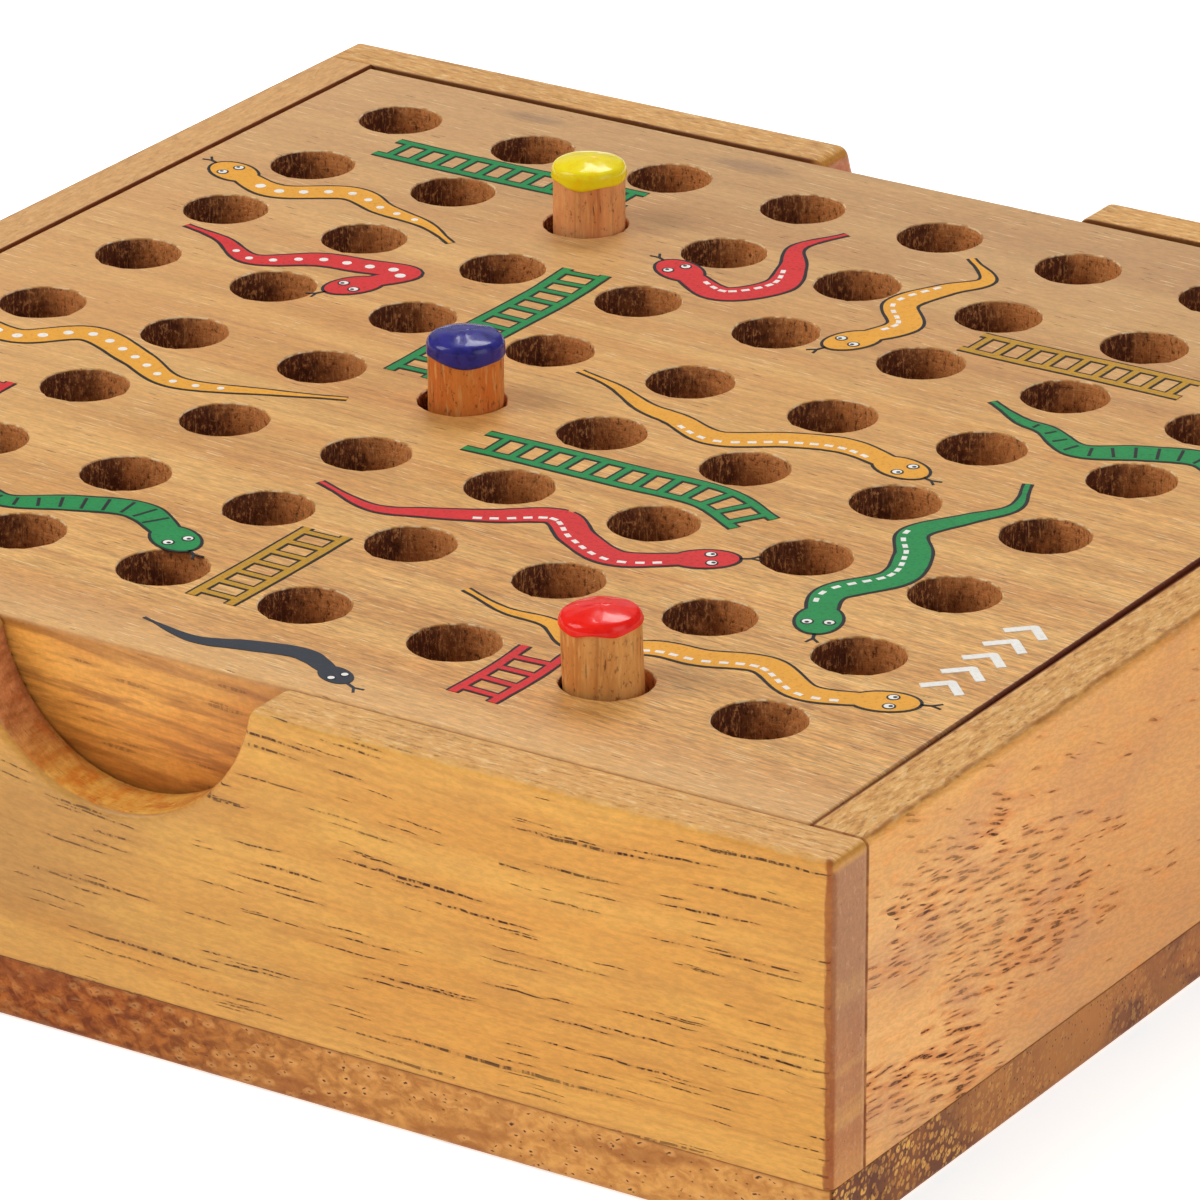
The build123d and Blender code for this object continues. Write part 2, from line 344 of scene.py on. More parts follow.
    height = g.add(height, g.mul(fine, 0.006))
    swell = g.noise(g.vec(g.mul(a, 1 / 9), g.mul(b, 1 / 5), g.mad(c, 1 / 5, seed)), detail=2.0)
    rough_s = g.mad(fine, 0.12, rough - 0.06)
    rough_s = g.add(rough_s, g.mul(dash, 0.25))
    info = dict(a=a, b=b, c=c, u=u, v=v, b2=b2, vw=vw, end=end, is_top=is_top, lateral=lateral, fine=fine, lines=lines,
                cluster=cluster, dash=dash, swell=swell)
    if extra:
        colour, height, rough_s = extra(g, info, colour, height, rough_s)
    colour = g.gain(colour, specks)
    normal = g.bump(g.add(height, g.mul(swell, wave)))
    return g.shader(colour, rough_s, normal, coat=coat, coat_rough=coat_rough, coat_normal=normal, spec=spec)


def near(g, value, at, half, soft):
    """1 within half of at, falling to 0 over soft."""
    return g.step(g.abs(g.sub(value, at)), half + soft, half)


# front and back walls: golden, long thin pores, grain along X
def front_flow(g, a, b, c):
    """The grain falls a little towards the right at the left end, and runs level at the right end."""
    left = g.math("MINIMUM", g.sub(a, 10.0), 0.0)
    return g.mad(a, 0.012, g.mul(left, 0.045))


def front_extra(g, i, colour, height, rough):
    x, y, z = g.x, g.y, g.z
    out = g.abs(y)
    # greyer and paler towards the far end, richest at the near end
    far = g.noise(g.vec(g.mul(x, 1 / 30), g.mul(z, 1 / 12), 3.0), detail=1.5)
    far = g.mul(g.mad(g.step(far, 0.34, 0.62), 0.75, 0.25), g.step(x, 46.0, -20.0))
    colour = g.mix(g.mul(far, 0.62), colour, srgb(166, 118, 66))
    # soft brown and golden clouds
    cloud = g.noise(g.vec(g.mul(x, 1 / 17), g.mul(i["b2"], 1 / 4.5), 8.0), detail=3.0, rough=0.6, dist=0.2)
    colour = g.mix(g.mul(g.step(cloud, 0.50, 0.72), 0.30), colour, srgb(184, 122, 64))
    glow = g.noise(g.vec(g.mul(x, 1 / 15), g.mul(i["b2"], 1 / 3.8), 14.0), detail=3.0, rough=0.6, dist=0.15)
    colour = g.mix(g.mul(g.step(glow, 0.48, 0.72), 0.36), colour, srgb(244, 184, 84))
    fibre = g.noise(g.vec(g.mul(x, 1 / 3.2), g.mul(i["b2"], 2.4), g.mul(y, 2.4)), detail=3.0, rough=0.65)
    colour = g.gain(colour, g.mad(fibre, 0.20, 0.90))
    # more golden along the lower edge, next to the base
    low = g.step(g.add(z, g.mul(i["fine"], 1.5)), 12.0, 6.5)
    colour = g.mix(g.mul(low, 0.30), colour, srgb(230, 164, 78))
    # the top face is rubbed paler, with short wavy fibres
    top = g.mul(g.step(g.nz, 0.6, 0.9), g.step(z, 30.0, 33.0))
    sway = g.mul(g.sub(g.noise(g.vec(g.mul(x, 0.25), g.mul(y, 0.25), 2.0), detail=1.0), 0.5), 1.6)
    hairs, _, _ = pore_layer(g, x, g.add(g.mad(x, 0.10, y), sway), 4.5, 0.36, 0.13, seed=21.0, keep=0.50, bead=0)
    specks, _, _ = pore_layer(g, x, g.add(g.mad(x, -0.12, y), sway), 2.6, 0.42, 0.12, seed=22.0, keep=0.28, bead=2.0)
    colour = g.mix(g.mul(top, 0.70), colour, srgb(230, 172, 98))
    colour = g.mix(g.product(top, hairs, 0.50), colour, srgb(250, 212, 148))
    colour = g.mix(g.product(top, specks, 0.60), colour, srgb(138, 84, 38))
    grit = g.noise(g.vec(g.mul(g.mad(y, 0.6, x), 0.55), g.mul(y, 2.1), 7.0), detail=4.0, rough=0.62)
    colour = g.mix(g.product(top, g.step(grit, 0.52, 0.66), 0.60), colour, srgb(250, 212, 150))
    colour = g.mix(g.product(top, g.step(grit, 0.47, 0.34), 0.50), colour, srgb(166, 106, 52))
    # pale line along the eased top edge: a painted highlight, broken up by noise
    rim = g.product(g.step(z, 35.85, 36.15), g.step(out, 74.3, 74.6), g.step(z, 36.48, 36.38))
    worn = g.noise(g.vec(g.mul(x, 0.45), g.mul(z, 0.8), 5.0), detail=3.5, rough=0.62)
    worn = g.mul(g.step(worn, 0.34, 0.72), g.step(g.noise(g.vec(g.mul(x, 0.06), 1.0, 5.0), detail=1.0), 0.3, 0.6))
    colour = g.mix(g.product(rim, worn, 0.42), colour, srgb(244, 202, 130))
    # red-brown varnish on the upright edges
    ends = g.noise(g.vec(g.mul(z, 0.45), x, y), detail=2.5, rough=0.6)
    reach = g.mad(g.sub(ends, 0.5), 0.8, 74.25)
    corner = g.mul(g.step(g.sub(g.abs(x), reach), -0.15, 0.15), g.step(g.abs(x), 75.02, 74.93))
    corner = g.mul(corner, g.step(out, 74.15, 74.6))
    colour = g.mix(g.mul(corner, g.mad(ends, 0.5, 0.55)), colour, srgb(152, 70, 18))
    # glue line against the side wall, seen on the end grain
    squeeze = g.noise(g.vec(g.mul(z, 0.38), g.mul(y, 0.2), 6.0), detail=3.5, rough=0.65)
    glue = g.step(g.abs(g.sub(out, g.mad(squeeze, 0.20, 69.48))), 0.20, 0.03)
    glue = g.mul(glue, g.mad(g.step(squeeze, 0.36, 0.60), 0.65, 0.25))
    colour = g.mix(g.product(glue, i["end"], 0.8), colour, srgb(122, 58, 20))
    pale = g.mul(g.step(g.abs(g.sub(out, 69.95)), 0.22, 0.05), i["end"])
    colour = g.mix(g.mul(pale, 0.30), colour, srgb(212, 162, 114))
    # end grain goes from mauve at the top to red-brown below
    high = g.mul(g.step(g.add(z, g.mul(ends, 12.0)), 14.0, 34.0), i["end"])
    colour = g.mix(g.mul(high, 0.50), colour, srgb(152, 106, 70))
    pale_end = g.noise(g.vec(g.mul(z, 0.75), g.mul(y, 1.4), 13.0), detail=3.0, rough=0.65)
    colour = g.mix(g.product(g.step(pale_end, 0.54, 0.72), i["end"], 0.40), colour, srgb(208, 154, 110))
    mottle = g.noise(g.vec(g.mul(z, 2.2), g.mul(y, 3.0), 3.0), detail=3.5, rough=0.7)
    colour = g.gain(colour, g.lerp(i["end"], 1.0, g.mad(mottle, 0.60, 0.70)))
    # golden facet where the end grain meets the top
    facet = g.mul(g.step(z, 35.1, 35.9), i["end"])
    colour = g.mix(g.mul(facet, 0.7), colour, srgb(214, 150, 56))
    seam = g.mul(g.step(g.mad(fibre, 0.35, z), 6.42, 6.12), g.step(out, 73.6, 74.6))
    colour = g.mix(g.mul(seam, 0.40), colour, srgb(132, 72, 30))
    # inside the finger notch: dark end grain on its sides, golden below
    notch = g.mul(g.step(g.abs(x), 18.5, 17.5), g.step(z, 22.0, 23.0))
    notch = g.mul(notch, g.step(g.abs(g.ny), 0.6, 0.3))
    steep = g.step(g.abs(g.nx), 0.30, 0.85)
    cut = g.noise(g.vec(g.mul(x, 0.9), g.mul(y, 0.35), g.mul(z, 0.9)), detail=3.0, rough=0.6)
    cut_col = g.mix(g.step(cut, 0.3, 0.7), srgb(240, 154, 58), srgb(255, 202, 100))
    dark_col = g.mix(g.step(cut, 0.3, 0.7), srgb(172, 100, 60), srgb(222, 146, 92))
    notch_col = g.mix(steep, cut_col, dark_col)
    stain = g.noise(g.vec(g.mul(x, 0.22), g.mul(y, 0.42), g.mul(z, 0.22)), detail=3.0, rough=0.62)
    notch_col = g.mix(g.mul(g.step(stain, 0.50, 0.66), 0.50), notch_col, srgb(206, 96, 34))
    # scrapes across the cut; the pale ones are partly painted highlight on the glossy cut
    scrape = g.noise(g.vec(g.mul(x, 1.1), g.mul(y, 4.5), g.mul(z, 1.1)), detail=3.0, rough=0.7)
    notch_col = g.mix(g.mul(g.step(scrape, 0.60, 0.72), 0.45), notch_col, srgb(246, 196, 138))
    notch_col = g.mix(g.mul(g.step(scrape, 0.42, 0.30), 0.50), notch_col, srgb(112, 54, 24))
    # darker at the notch's inner edge, next to the board: painted shade in the crease
    notch_col = g.mix(g.mul(g.step(out, 70.9, 69.7), 0.40), notch_col, srgb(112, 52, 22))
    below = g.step(z, 36.2, 35.0)
    colour = g.mix(g.product(notch, below, 0.9), colour, notch_col)
    rough = g.sub(rough, g.mul(notch, 0.22))
    # painted shade in the gap next to the play board: a little on the wall's inner face, darker near its top down to a
    # wavy depth
    inside = g.step(out, 69.75, 69.55)
    colour = g.mix(g.mul(inside, 0.3), colour, srgb(160, 104, 60))
    shade_bottom = g.mad(g.noise(g.vec(g.mul(x, 0.3), g.mul(z, 0.8), 17.0), detail=3.0), 1.4, 34.0)
    gap = g.product(g.step(out, 69.62, 69.52), g.step(g.sub(z, shade_bottom), 0.0, 0.9), g.step(g.abs(x), 15.0, 16.0))
    colour = g.mix(g.mul(gap, 0.80), colour, srgb(96, 46, 18))
    return colour, height, rough


front_wood = wood(
    "wood_front_back_walls", "x", (232, 170, 80), (218, 144, 56), (182, 112, 44), 1.3,
    pores=((56, 1.10, 0.22, 0.95), (34, 0.9, 0.18, 0.85), (16, 0.8, 0.14, 0.45), (190, 2.7, 0.28, 0.85)), flow=front_flow, smear=0.22, micro=0.14,
    band_amt=0.60, streak_amt=0.30, bead=2.3, bead_floor=0.12, end_base=(174, 102, 42), end_warm=(186, 113, 48), end_pitch=(0.9, 1.1), end_dot=0.11,
    end_share=0.35, extra=front_extra, fibre_amt=0.06, cluster_lo=0.20, cluster_hi=0.48, pore_dark=(60, 20, 0),
    pore_strength=1.0,
)


# side walls: peach, short dark pores in fans, grain along Y
def side_flow(g, a, b, c):
    """The fibres fall a little towards the back."""
    return g.mul(a, 0.13)


def side_crowd(g, a, b, c):
    """The pores stand closest in one slanting patch near the front end."""
    u1, v1 = g.mul(g.add(a, 49.0), 1 / 15), g.mul(g.mad(g.add(a, 49.0), 0.30, g.sub(b, 24.5)), 1 / 7.5)
    u2, v2 = g.mul(g.add(a, 57.0), 1 / 13), g.mul(g.sub(b, 11.5), 1 / 4.5)
    first = g.math("EXPONENT", g.mul(g.add(g.mul(u1, u1), g.mul(v1, v1)), -1.0))
    second = g.math("EXPONENT", g.mul(g.add(g.mul(u2, u2), g.mul(v2, v2)), -1.0))
    return g.total(g.mul(first, 0.46), g.mul(second, 0.24), -0.07)


def side_extra(g, i, colour, height, rough):
    x, y, z = g.x, g.y, g.z
    out = g.abs(x)
    # smoother, more golden near the top
    smooth_top = g.step(g.add(z, g.mul(g.noise(g.vec(g.mul(y, 0.05), 1.0, 0.0), detail=1.0), 8.0)), 32.0, 38.0)
    colour = g.mix(g.mul(smooth_top, 0.50), colour, srgb(234, 166, 80))
    # mauve bloom in places
    bloom = g.noise(g.vec(g.mul(y, 1 / 14), g.mul(z, 1 / 7), 9.0), detail=2.0)
    colour = g.mix(g.mul(g.step(bloom, 0.46, 0.68), 0.50), colour, srgb(198, 140, 98))
    tan = g.noise(g.vec(g.mul(y, 1 / 22), g.mul(z, 1 / 9), 19.0), detail=2.0)
    colour = g.mix(g.mul(g.step(tan, 0.44, 0.66), 0.40), colour, srgb(220, 164, 102))
    # rosy grey-brown towards the base, behind the near end
    dusk = g.noise(g.vec(g.mul(y, 1 / 9), g.mul(z, 1 / 5), 29.0), detail=2.5)
    dusk = g.product(g.step(g.mad(dusk, 12.0, z), 26.0, 12.0), g.step(g.mad(dusk, 16.0, y), -52.0, -34.0))
    colour = g.mix(g.mul(dusk, 0.46), colour, srgb(196, 134, 88))
    # more golden towards the back
    colour = g.mix(g.mul(g.step(y, -58.0, -14.0), 0.42), colour, srgb(206, 136, 66))
    # golden tissue round the pores
    gold = g.noise(g.vec(g.mul(y, 0.25), g.mul(i["b2"], 0.8), 4.0), detail=2.0)
    colour = g.mix(g.product(g.step(gold, 0.5, 0.75), i["lateral"], 0.40), colour, srgb(232, 146, 62))
    # the top face is paler and greener, softly flecked
    top = g.mul(g.step(g.nz, 0.6, 0.9), g.step(z, 30.0, 33.0))
    speck = g.noise(g.vec(g.mul(x, 1.1), g.mul(y, 0.35), 3.0), detail=3.0, rough=0.6)
    colour = g.mix(g.mul(top, 0.75), colour, g.mix(g.step(speck, 0.32, 0.68), srgb(204, 146, 78), srgb(232, 182, 110)))
    hairs, _, _ = pore_layer(g, g.mad(x, 0.3, y), g.mad(y, -0.12, x), 4.0, 0.40, 0.15, seed=23.0, keep=0.45, bead=1.5)
    colour = g.mix(g.product(top, hairs, 0.45), colour, srgb(244, 202, 138))
    dots, _, _ = pore_layer(g, y, g.mad(y, -0.10, x), 1.6, 0.9, 0.22, seed=24.0, keep=0.22, bead=0)
    colour = g.mix(g.product(top, dots, 0.55), colour, srgb(110, 66, 30))
    grit = g.noise(g.vec(g.mul(x, 1.9), g.mul(g.mad(x, 0.5, y), 0.5), 7.0), detail=4.0, rough=0.62)
    colour = g.mix(g.product(top, g.step(grit, 0.52, 0.66), 0.55), colour, srgb(246, 208, 150))
    colour = g.mix(g.product(top, g.step(grit, 0.47, 0.34), 0.55), colour, srgb(150, 98, 52))
    # paler still on the left wall's top: painted sheen
    colour = g.mix(g.product(top, g.step(x, -60.0, -70.0), 0.60), colour, srgb(222, 172, 116))
    # wavy ochre line where the top turns into the side
    wavy = g.mad(g.sub(g.noise(g.vec(g.mul(y, 0.22), 2.0, 0.0), detail=3.0, rough=0.65), 0.5), 0.75, 74.50)
    strength = g.noise(g.vec(g.mul(y, 0.22), 7.0, 0.0), detail=2.5, rough=0.6)
    line = g.mul(g.step(g.abs(g.sub(out, wavy)), 0.36, 0.04), g.step(z, 35.4, 36.0))
    colour = g.mix(g.product(line, g.mad(g.step(strength, 0.34, 0.62), 0.55, 0.20)), colour, srgb(158, 90, 28))
    # glue line where the wall meets the front and back walls
    squeeze = g.noise(g.vec(g.mul(z, 0.38), g.mul(x, 0.3), 6.0), detail=3.5, rough=0.65)
    joint = g.step(g.mad(squeeze, 0.30, g.abs(y)), 69.36, 69.56)
    colour = g.mix(g.mul(joint, g.mad(g.step(squeeze, 0.36, 0.60), 0.45, 0.35)), colour, srgb(124, 56, 16))
    seam = g.mul(g.step(g.mad(squeeze, 0.4, z), 6.45, 6.12), g.step(out, 73.6, 74.6))
    colour = g.mix(g.mul(seam, 0.38), colour, srgb(122, 70, 34))
    # painted shade in the gap beside the play board, on the wall's inner face, down to a wavy depth
    inner_side = g.step(out, 69.72, 69.58)
    shade_bottom = g.mad(g.noise(g.vec(g.mul(y, 0.3), g.mul(z, 0.8), 17.0), detail=3.0), 1.4, 34.0)
    colour = g.mix(g.product(inner_side, g.step(g.sub(z, shade_bottom), 0.0, 0.9), 0.85), colour, srgb(108, 38, 22))
    return colour, height, rough


side_wood = wood(
    "wood_side_walls", "y", (238, 176, 104), (226, 154, 82), (206, 112, 42), 5.1,
    pores=((5.4, 0.72, 0.25, 0.74, 0.0, -9, -8, 27, 31), (4.4, 0.54, 0.18, 0.62, 0.07, -9, -8, 28, 32),
           (5.8, 0.80, 0.25, 0.62, 0.16, 23, 27, 31, 34), (7.0, 0.95, 0.25, 0.50, 0.27, 28, 30, 50, 51),
           (7.2, 0.54, 0.17, 0.50, -0.05, -9, -8, 20, 27)), flow=side_flow, micro=0.15,
    band_amt=0.7, streak_amt=0.4, end_base=(160, 104, 66), extra=side_extra, fibre_amt=0.07, crowd=side_crowd, bead_floor=0.5,
    pore_dark=(56, 15, 0), cluster_scale=1.1, cluster_lo=0.40, cluster_hi=0.60, halo_amt=0.66, pore_strength=1.0,
    coat=0.03, spec=0.12,
)


# base board: open end grain on the front and back edges, gold-flecked brown on the sides
def base_material():
    g = Graph("wood_base_board")
    x, y, z = g.x, g.y, g.z
    ax, ay = g.abs(g.nx), g.abs(g.ny)
    flat = g.step(g.abs(g.nz), 0.6, 0.9)
    is_side = g.step(g.sub(ax, ay), -0.2, 0.2)

    # front and back edges: soft mottling, red-brown at the left and golden at the right
    mott = g.noise(g.vec(g.mul(x, 0.62), y, g.mul(z, 1.05)), detail=3.0, rough=0.6, dist=0.5)
    red = g.mix(g.step(mott, 0.34, 0.68), srgb(118, 50, 8), srgb(180, 98, 34))
    gold = g.mix(g.step(mott, 0.30, 0.70), srgb(196, 128, 62), srgb(230, 166, 88))
    reach = g.noise(g.vec(g.mul(x, 1 / 26), g.mul(z, 1 / 9), 2.0), detail=2.5)
    front = g.mix(g.step(g.add(x, g.mul(reach, 44.0)), 12.0, 68.0), red, gold)
    patch = g.noise(g.vec(g.mul(x, 1 / 12), 0.0, g.mul(z, 1 / 3.2)), detail=2.5, dist=0.5)
    front = g.mix(g.mul(g.step(patch, 0.52, 0.72), 0.60), front, srgb(152, 82, 38))
    crisp = g.step(x, -30.0, 30.0)
    soft = g.sub(1.0, g.mul(crisp, 0.75))
    flame = g.noise(g.vec(g.mul(g.mad(z, 0.5, x), 0.85), 5.0, g.mul(z, 0.62)), detail=3.5, rough=0.62, dist=0.9)
    front = g.mix(g.product(g.step(flame, 0.54, 0.66), soft, 0.45), front, srgb(210, 130, 66))
    front = g.mix(g.product(g.step(flame, 0.45, 0.33), soft, 0.50), front, srgb(112, 46, 16))
    # open pores: a dark tick inside a pale lens
    crowd = g.step(g.noise(g.vec(g.mul(x, 1 / 7), 3.0, g.mul(z, 1 / 3.5)), detail=1.5), 0.32, 0.62)
    wob = g.mul(g.sub(g.noise(g.vec(g.mul(x, 1.3), 1.0, g.mul(z, 1.3)), detail=1.5), 0.5), 0.8)
    lens = g.voronoi(g.vec(g.mul(g.add(x, wob), 1 / 2.1), g.mul(g.add(z, wob), 1 / 1.0), 0.0))
    lr, lg, lb = g.split(lens.outputs["Color"])
    ld_ = lens.outputs["Distance"]
    kept = g.lt(lr, g.mad(crowd, 0.55, 0.18))
    halo = g.mul(g.step(ld_, 0.48, 0.16), kept)
    front = g.mix(g.product(halo, 0.55, g.mad(crisp, 0.95, 0.05)), front, srgb(234, 170, 98))
    tick_r = g.mad(lg, 0.055, 0.05)
    tick = g.mul(g.fall(ld_, g.mul(tick_r, 0.55), g.mul(tick_r, 1.3)), kept)
    grain_pit = g.voronoi(g.vec(g.mad(g.add(x, wob), 1 / 1.15, 5.0), g.mul(z, 1 / 0.62), 0.0))
    fr, fg_, fb = g.split(grain_pit.outputs["Color"])
    small = g.mul(g.step(grain_pit.outputs["Distance"], 0.15, 0.06), g.lt(fr, g.mad(crowd, 0.22, 0.04)))
    pits = g.mul(g.max(tick, g.mul(small, 0.7)), g.mad(crisp, 0.92, 0.08))
    front = g.mix(g.mul(pits, 0.9), front, srgb(58, 24, 10))

    # side edges: golden flecks on purple-brown, in slanting zones
    drift = g.mul(g.sub(g.noise(g.vec(2.0, g.mul(y, 1 / 11), g.mul(z, 1 / 7)), detail=1.5), 0.5), 9.0)
    slant = g.total(g.mul(z, 0.55), y, drift)
    dark_low = g.noise(g.vec(1.0, g.mul(slant, 1 / 8), g.mul(z, 1 / 9)), detail=3.0, rough=0.62, dist=0.7)
    broad = g.noise(g.vec(4.0, g.mul(y, 1 / 26), g.mul(z, 1 / 14)), detail=1.0)
    dark_low = g.mad(g.sub(broad, 0.5), 0.35, dark_low)
    near_front = g.step(y, 20.0, -66.0)
    ground = g.mix(g.step(dark_low, 0.28, 0.70), srgb(104, 46, 10), srgb(184, 108, 40))
    ground = g.mix(g.mul(near_front, 0.55), ground, srgb(92, 44, 20))
    tall = g.mad(y, -0.3, z)
    fk1 = g.voronoi(g.vec(g.mul(y, 1 / 0.98), g.mul(tall, 1 / 0.92), 0.0))
    k1r, k1g, k1b = g.split(fk1.outputs["Color"])
    fl = g.mul(g.fall(fk1.outputs["Distance"], g.mad(k1g, 0.14, 0.19), g.mad(k1g, 0.16, 0.27)), g.lt(k1r, g.mad(near_front, 0.22, 0.68)))
    fk2 = g.voronoi(g.vec(g.mad(y, 1 / 0.56, 7.0), g.mul(tall, 1 / 0.62), 0.0))
    k2r, k2g, k2b = g.split(fk2.outputs["Color"])
    fl2 = g.mul(g.step(fk2.outputs["Distance"], 0.42, 0.2), g.lt(k2r, 0.5))
    tear = g.noise(g.vec(3.0, g.mul(y, 3.0), g.mul(z, 2.2)), detail=2.0)
    zone = g.noise(g.vec(5.0, g.mul(slant, 1 / 9), g.mul(z, 1 / 10)), detail=2.5, dist=0.5)
    # the flecks are dense near the front corner and melt together farther back
    many = g.mad(g.step(zone, g.mad(near_front, -0.22, 0.46), g.mad(near_front, -0.22, 0.70)), 0.85, 0.12)
    behind = g.step(g.mad(g.sub(zone, 0.5), 26.0, y), -58.0, -30.0)
    fleck = g.product(g.max(fl, g.mul(fl2, 0.7)), g.step(tear, 0.25, 0.48), many, g.mad(behind, -0.60, 1.0))
    glow = g.noise(g.vec(8.0, g.mul(slant, 1 / 13), g.mul(z, 1 / 16)), detail=2.0)
    glow = g.mul(g.step(glow, 0.38, 0.66), g.step(y, -64.0, -44.0))
    ground = g.mix(g.mul(glow, 0.70), ground, srgb(190, 120, 50))
    side = g.mix(g.mul(g.mul(fleck, 0.85), g.sub(1.0, g.mul(glow, 0.6))), ground, g.mix(k1b, srgb(200, 128, 44), srgb(244, 182, 88)))
    core = g.mul(g.step(fk1.outputs["Distance"], 0.16, 0.07), g.lt(k1r, 0.30))
    side = g.mix(g.mul(core, 0.7), side, srgb(140, 78, 26))
    ink_pit = g.mul(g.step(fk2.outputs["Distance"], 0.20, 0.10), g.gt(k2r, 0.80))
    side = g.mix(g.mul(ink_pit, 0.9), side, srgb(30, 12, 8))

    # top and underside: plain long grain
    bow = g.mul(g.sub(g.noise(g.vec(g.mul(x, 1 / 40), g.mul(y, 1 / 95), 7.0), detail=1.0), 0.5), 13.0)
    across = g.total(x, bow, g.mul(y, 0.05))
    lines = g.noise(g.vec(g.mul(across, 0.42), g.mul(y, 1 / 44), 4.0), detail=3.5, rough=0.6)
    fine = g.noise(g.vec(g.mul(across, 4.0), g.mul(y, 1 / 5), 8.0), detail=2.0)
    plain = g.mix(g.step(lines, 0.32, 0.70), srgb(204, 146, 86), srgb(168, 110, 60))
    plain = g.gain(plain, g.mad(fine, 0.16, 0.92))
    dash, _, _ = pore_layer(g, y, across, 17, 0.8, 0.15, seed=31.0, keep=0.42)
    plain = g.mix(g.mul(dash, 0.75), plain, srgb(84, 44, 22))

    colour = g.mix(flat, g.mix(is_side, front, side), plain)
    grit = g.noise(g.P, scale=5.0, detail=2.0)
    colour = g.gain(colour, g.mad(grit, 0.16, 0.92))
    # darker along the lower edge, glue line at the top
    low = g.mul(g.step(z, 1.1, 0.1), g.sub(1.0, flat))
    colour = g.mix(g.mul(low, 0.3), colour, srgb(112, 58, 30))
    seam = g.mul(g.step(g.mad(mott, 0.4, z), 5.85, 6.12), g.sub(1.0, flat))
    colour = g.mix(g.mul(seam, 0.28), colour, srgb(104, 54, 26))
    under = g.step(g.nz, -0.5, -0.9)
    dents = g.total(g.mul(pits, -0.07), g.mul(g.mul(fleck, is_side), 0.02), g.mul(dash, g.mul(flat, -0.04)), g.mul(grit, 0.012))
    swell = g.noise(g.P, scale=0.16, detail=2.0)
    rough = g.add(g.mad(grit, 0.14, 0.36), g.mul(under, 0.25))
    normal = g.bump(g.add(dents, g.mul(swell, 0.05)))
    return g.shader(colour, rough, normal, coat=0.04, coat_rough=0.3, coat_normal=normal, spec=0.13)


base_wood = base_material()


# play board: pale tan top with pale hairs, burnt holes, golden-brown edge
def board_flow(g, a, b, c):
    return g.mul(a, 0.02)


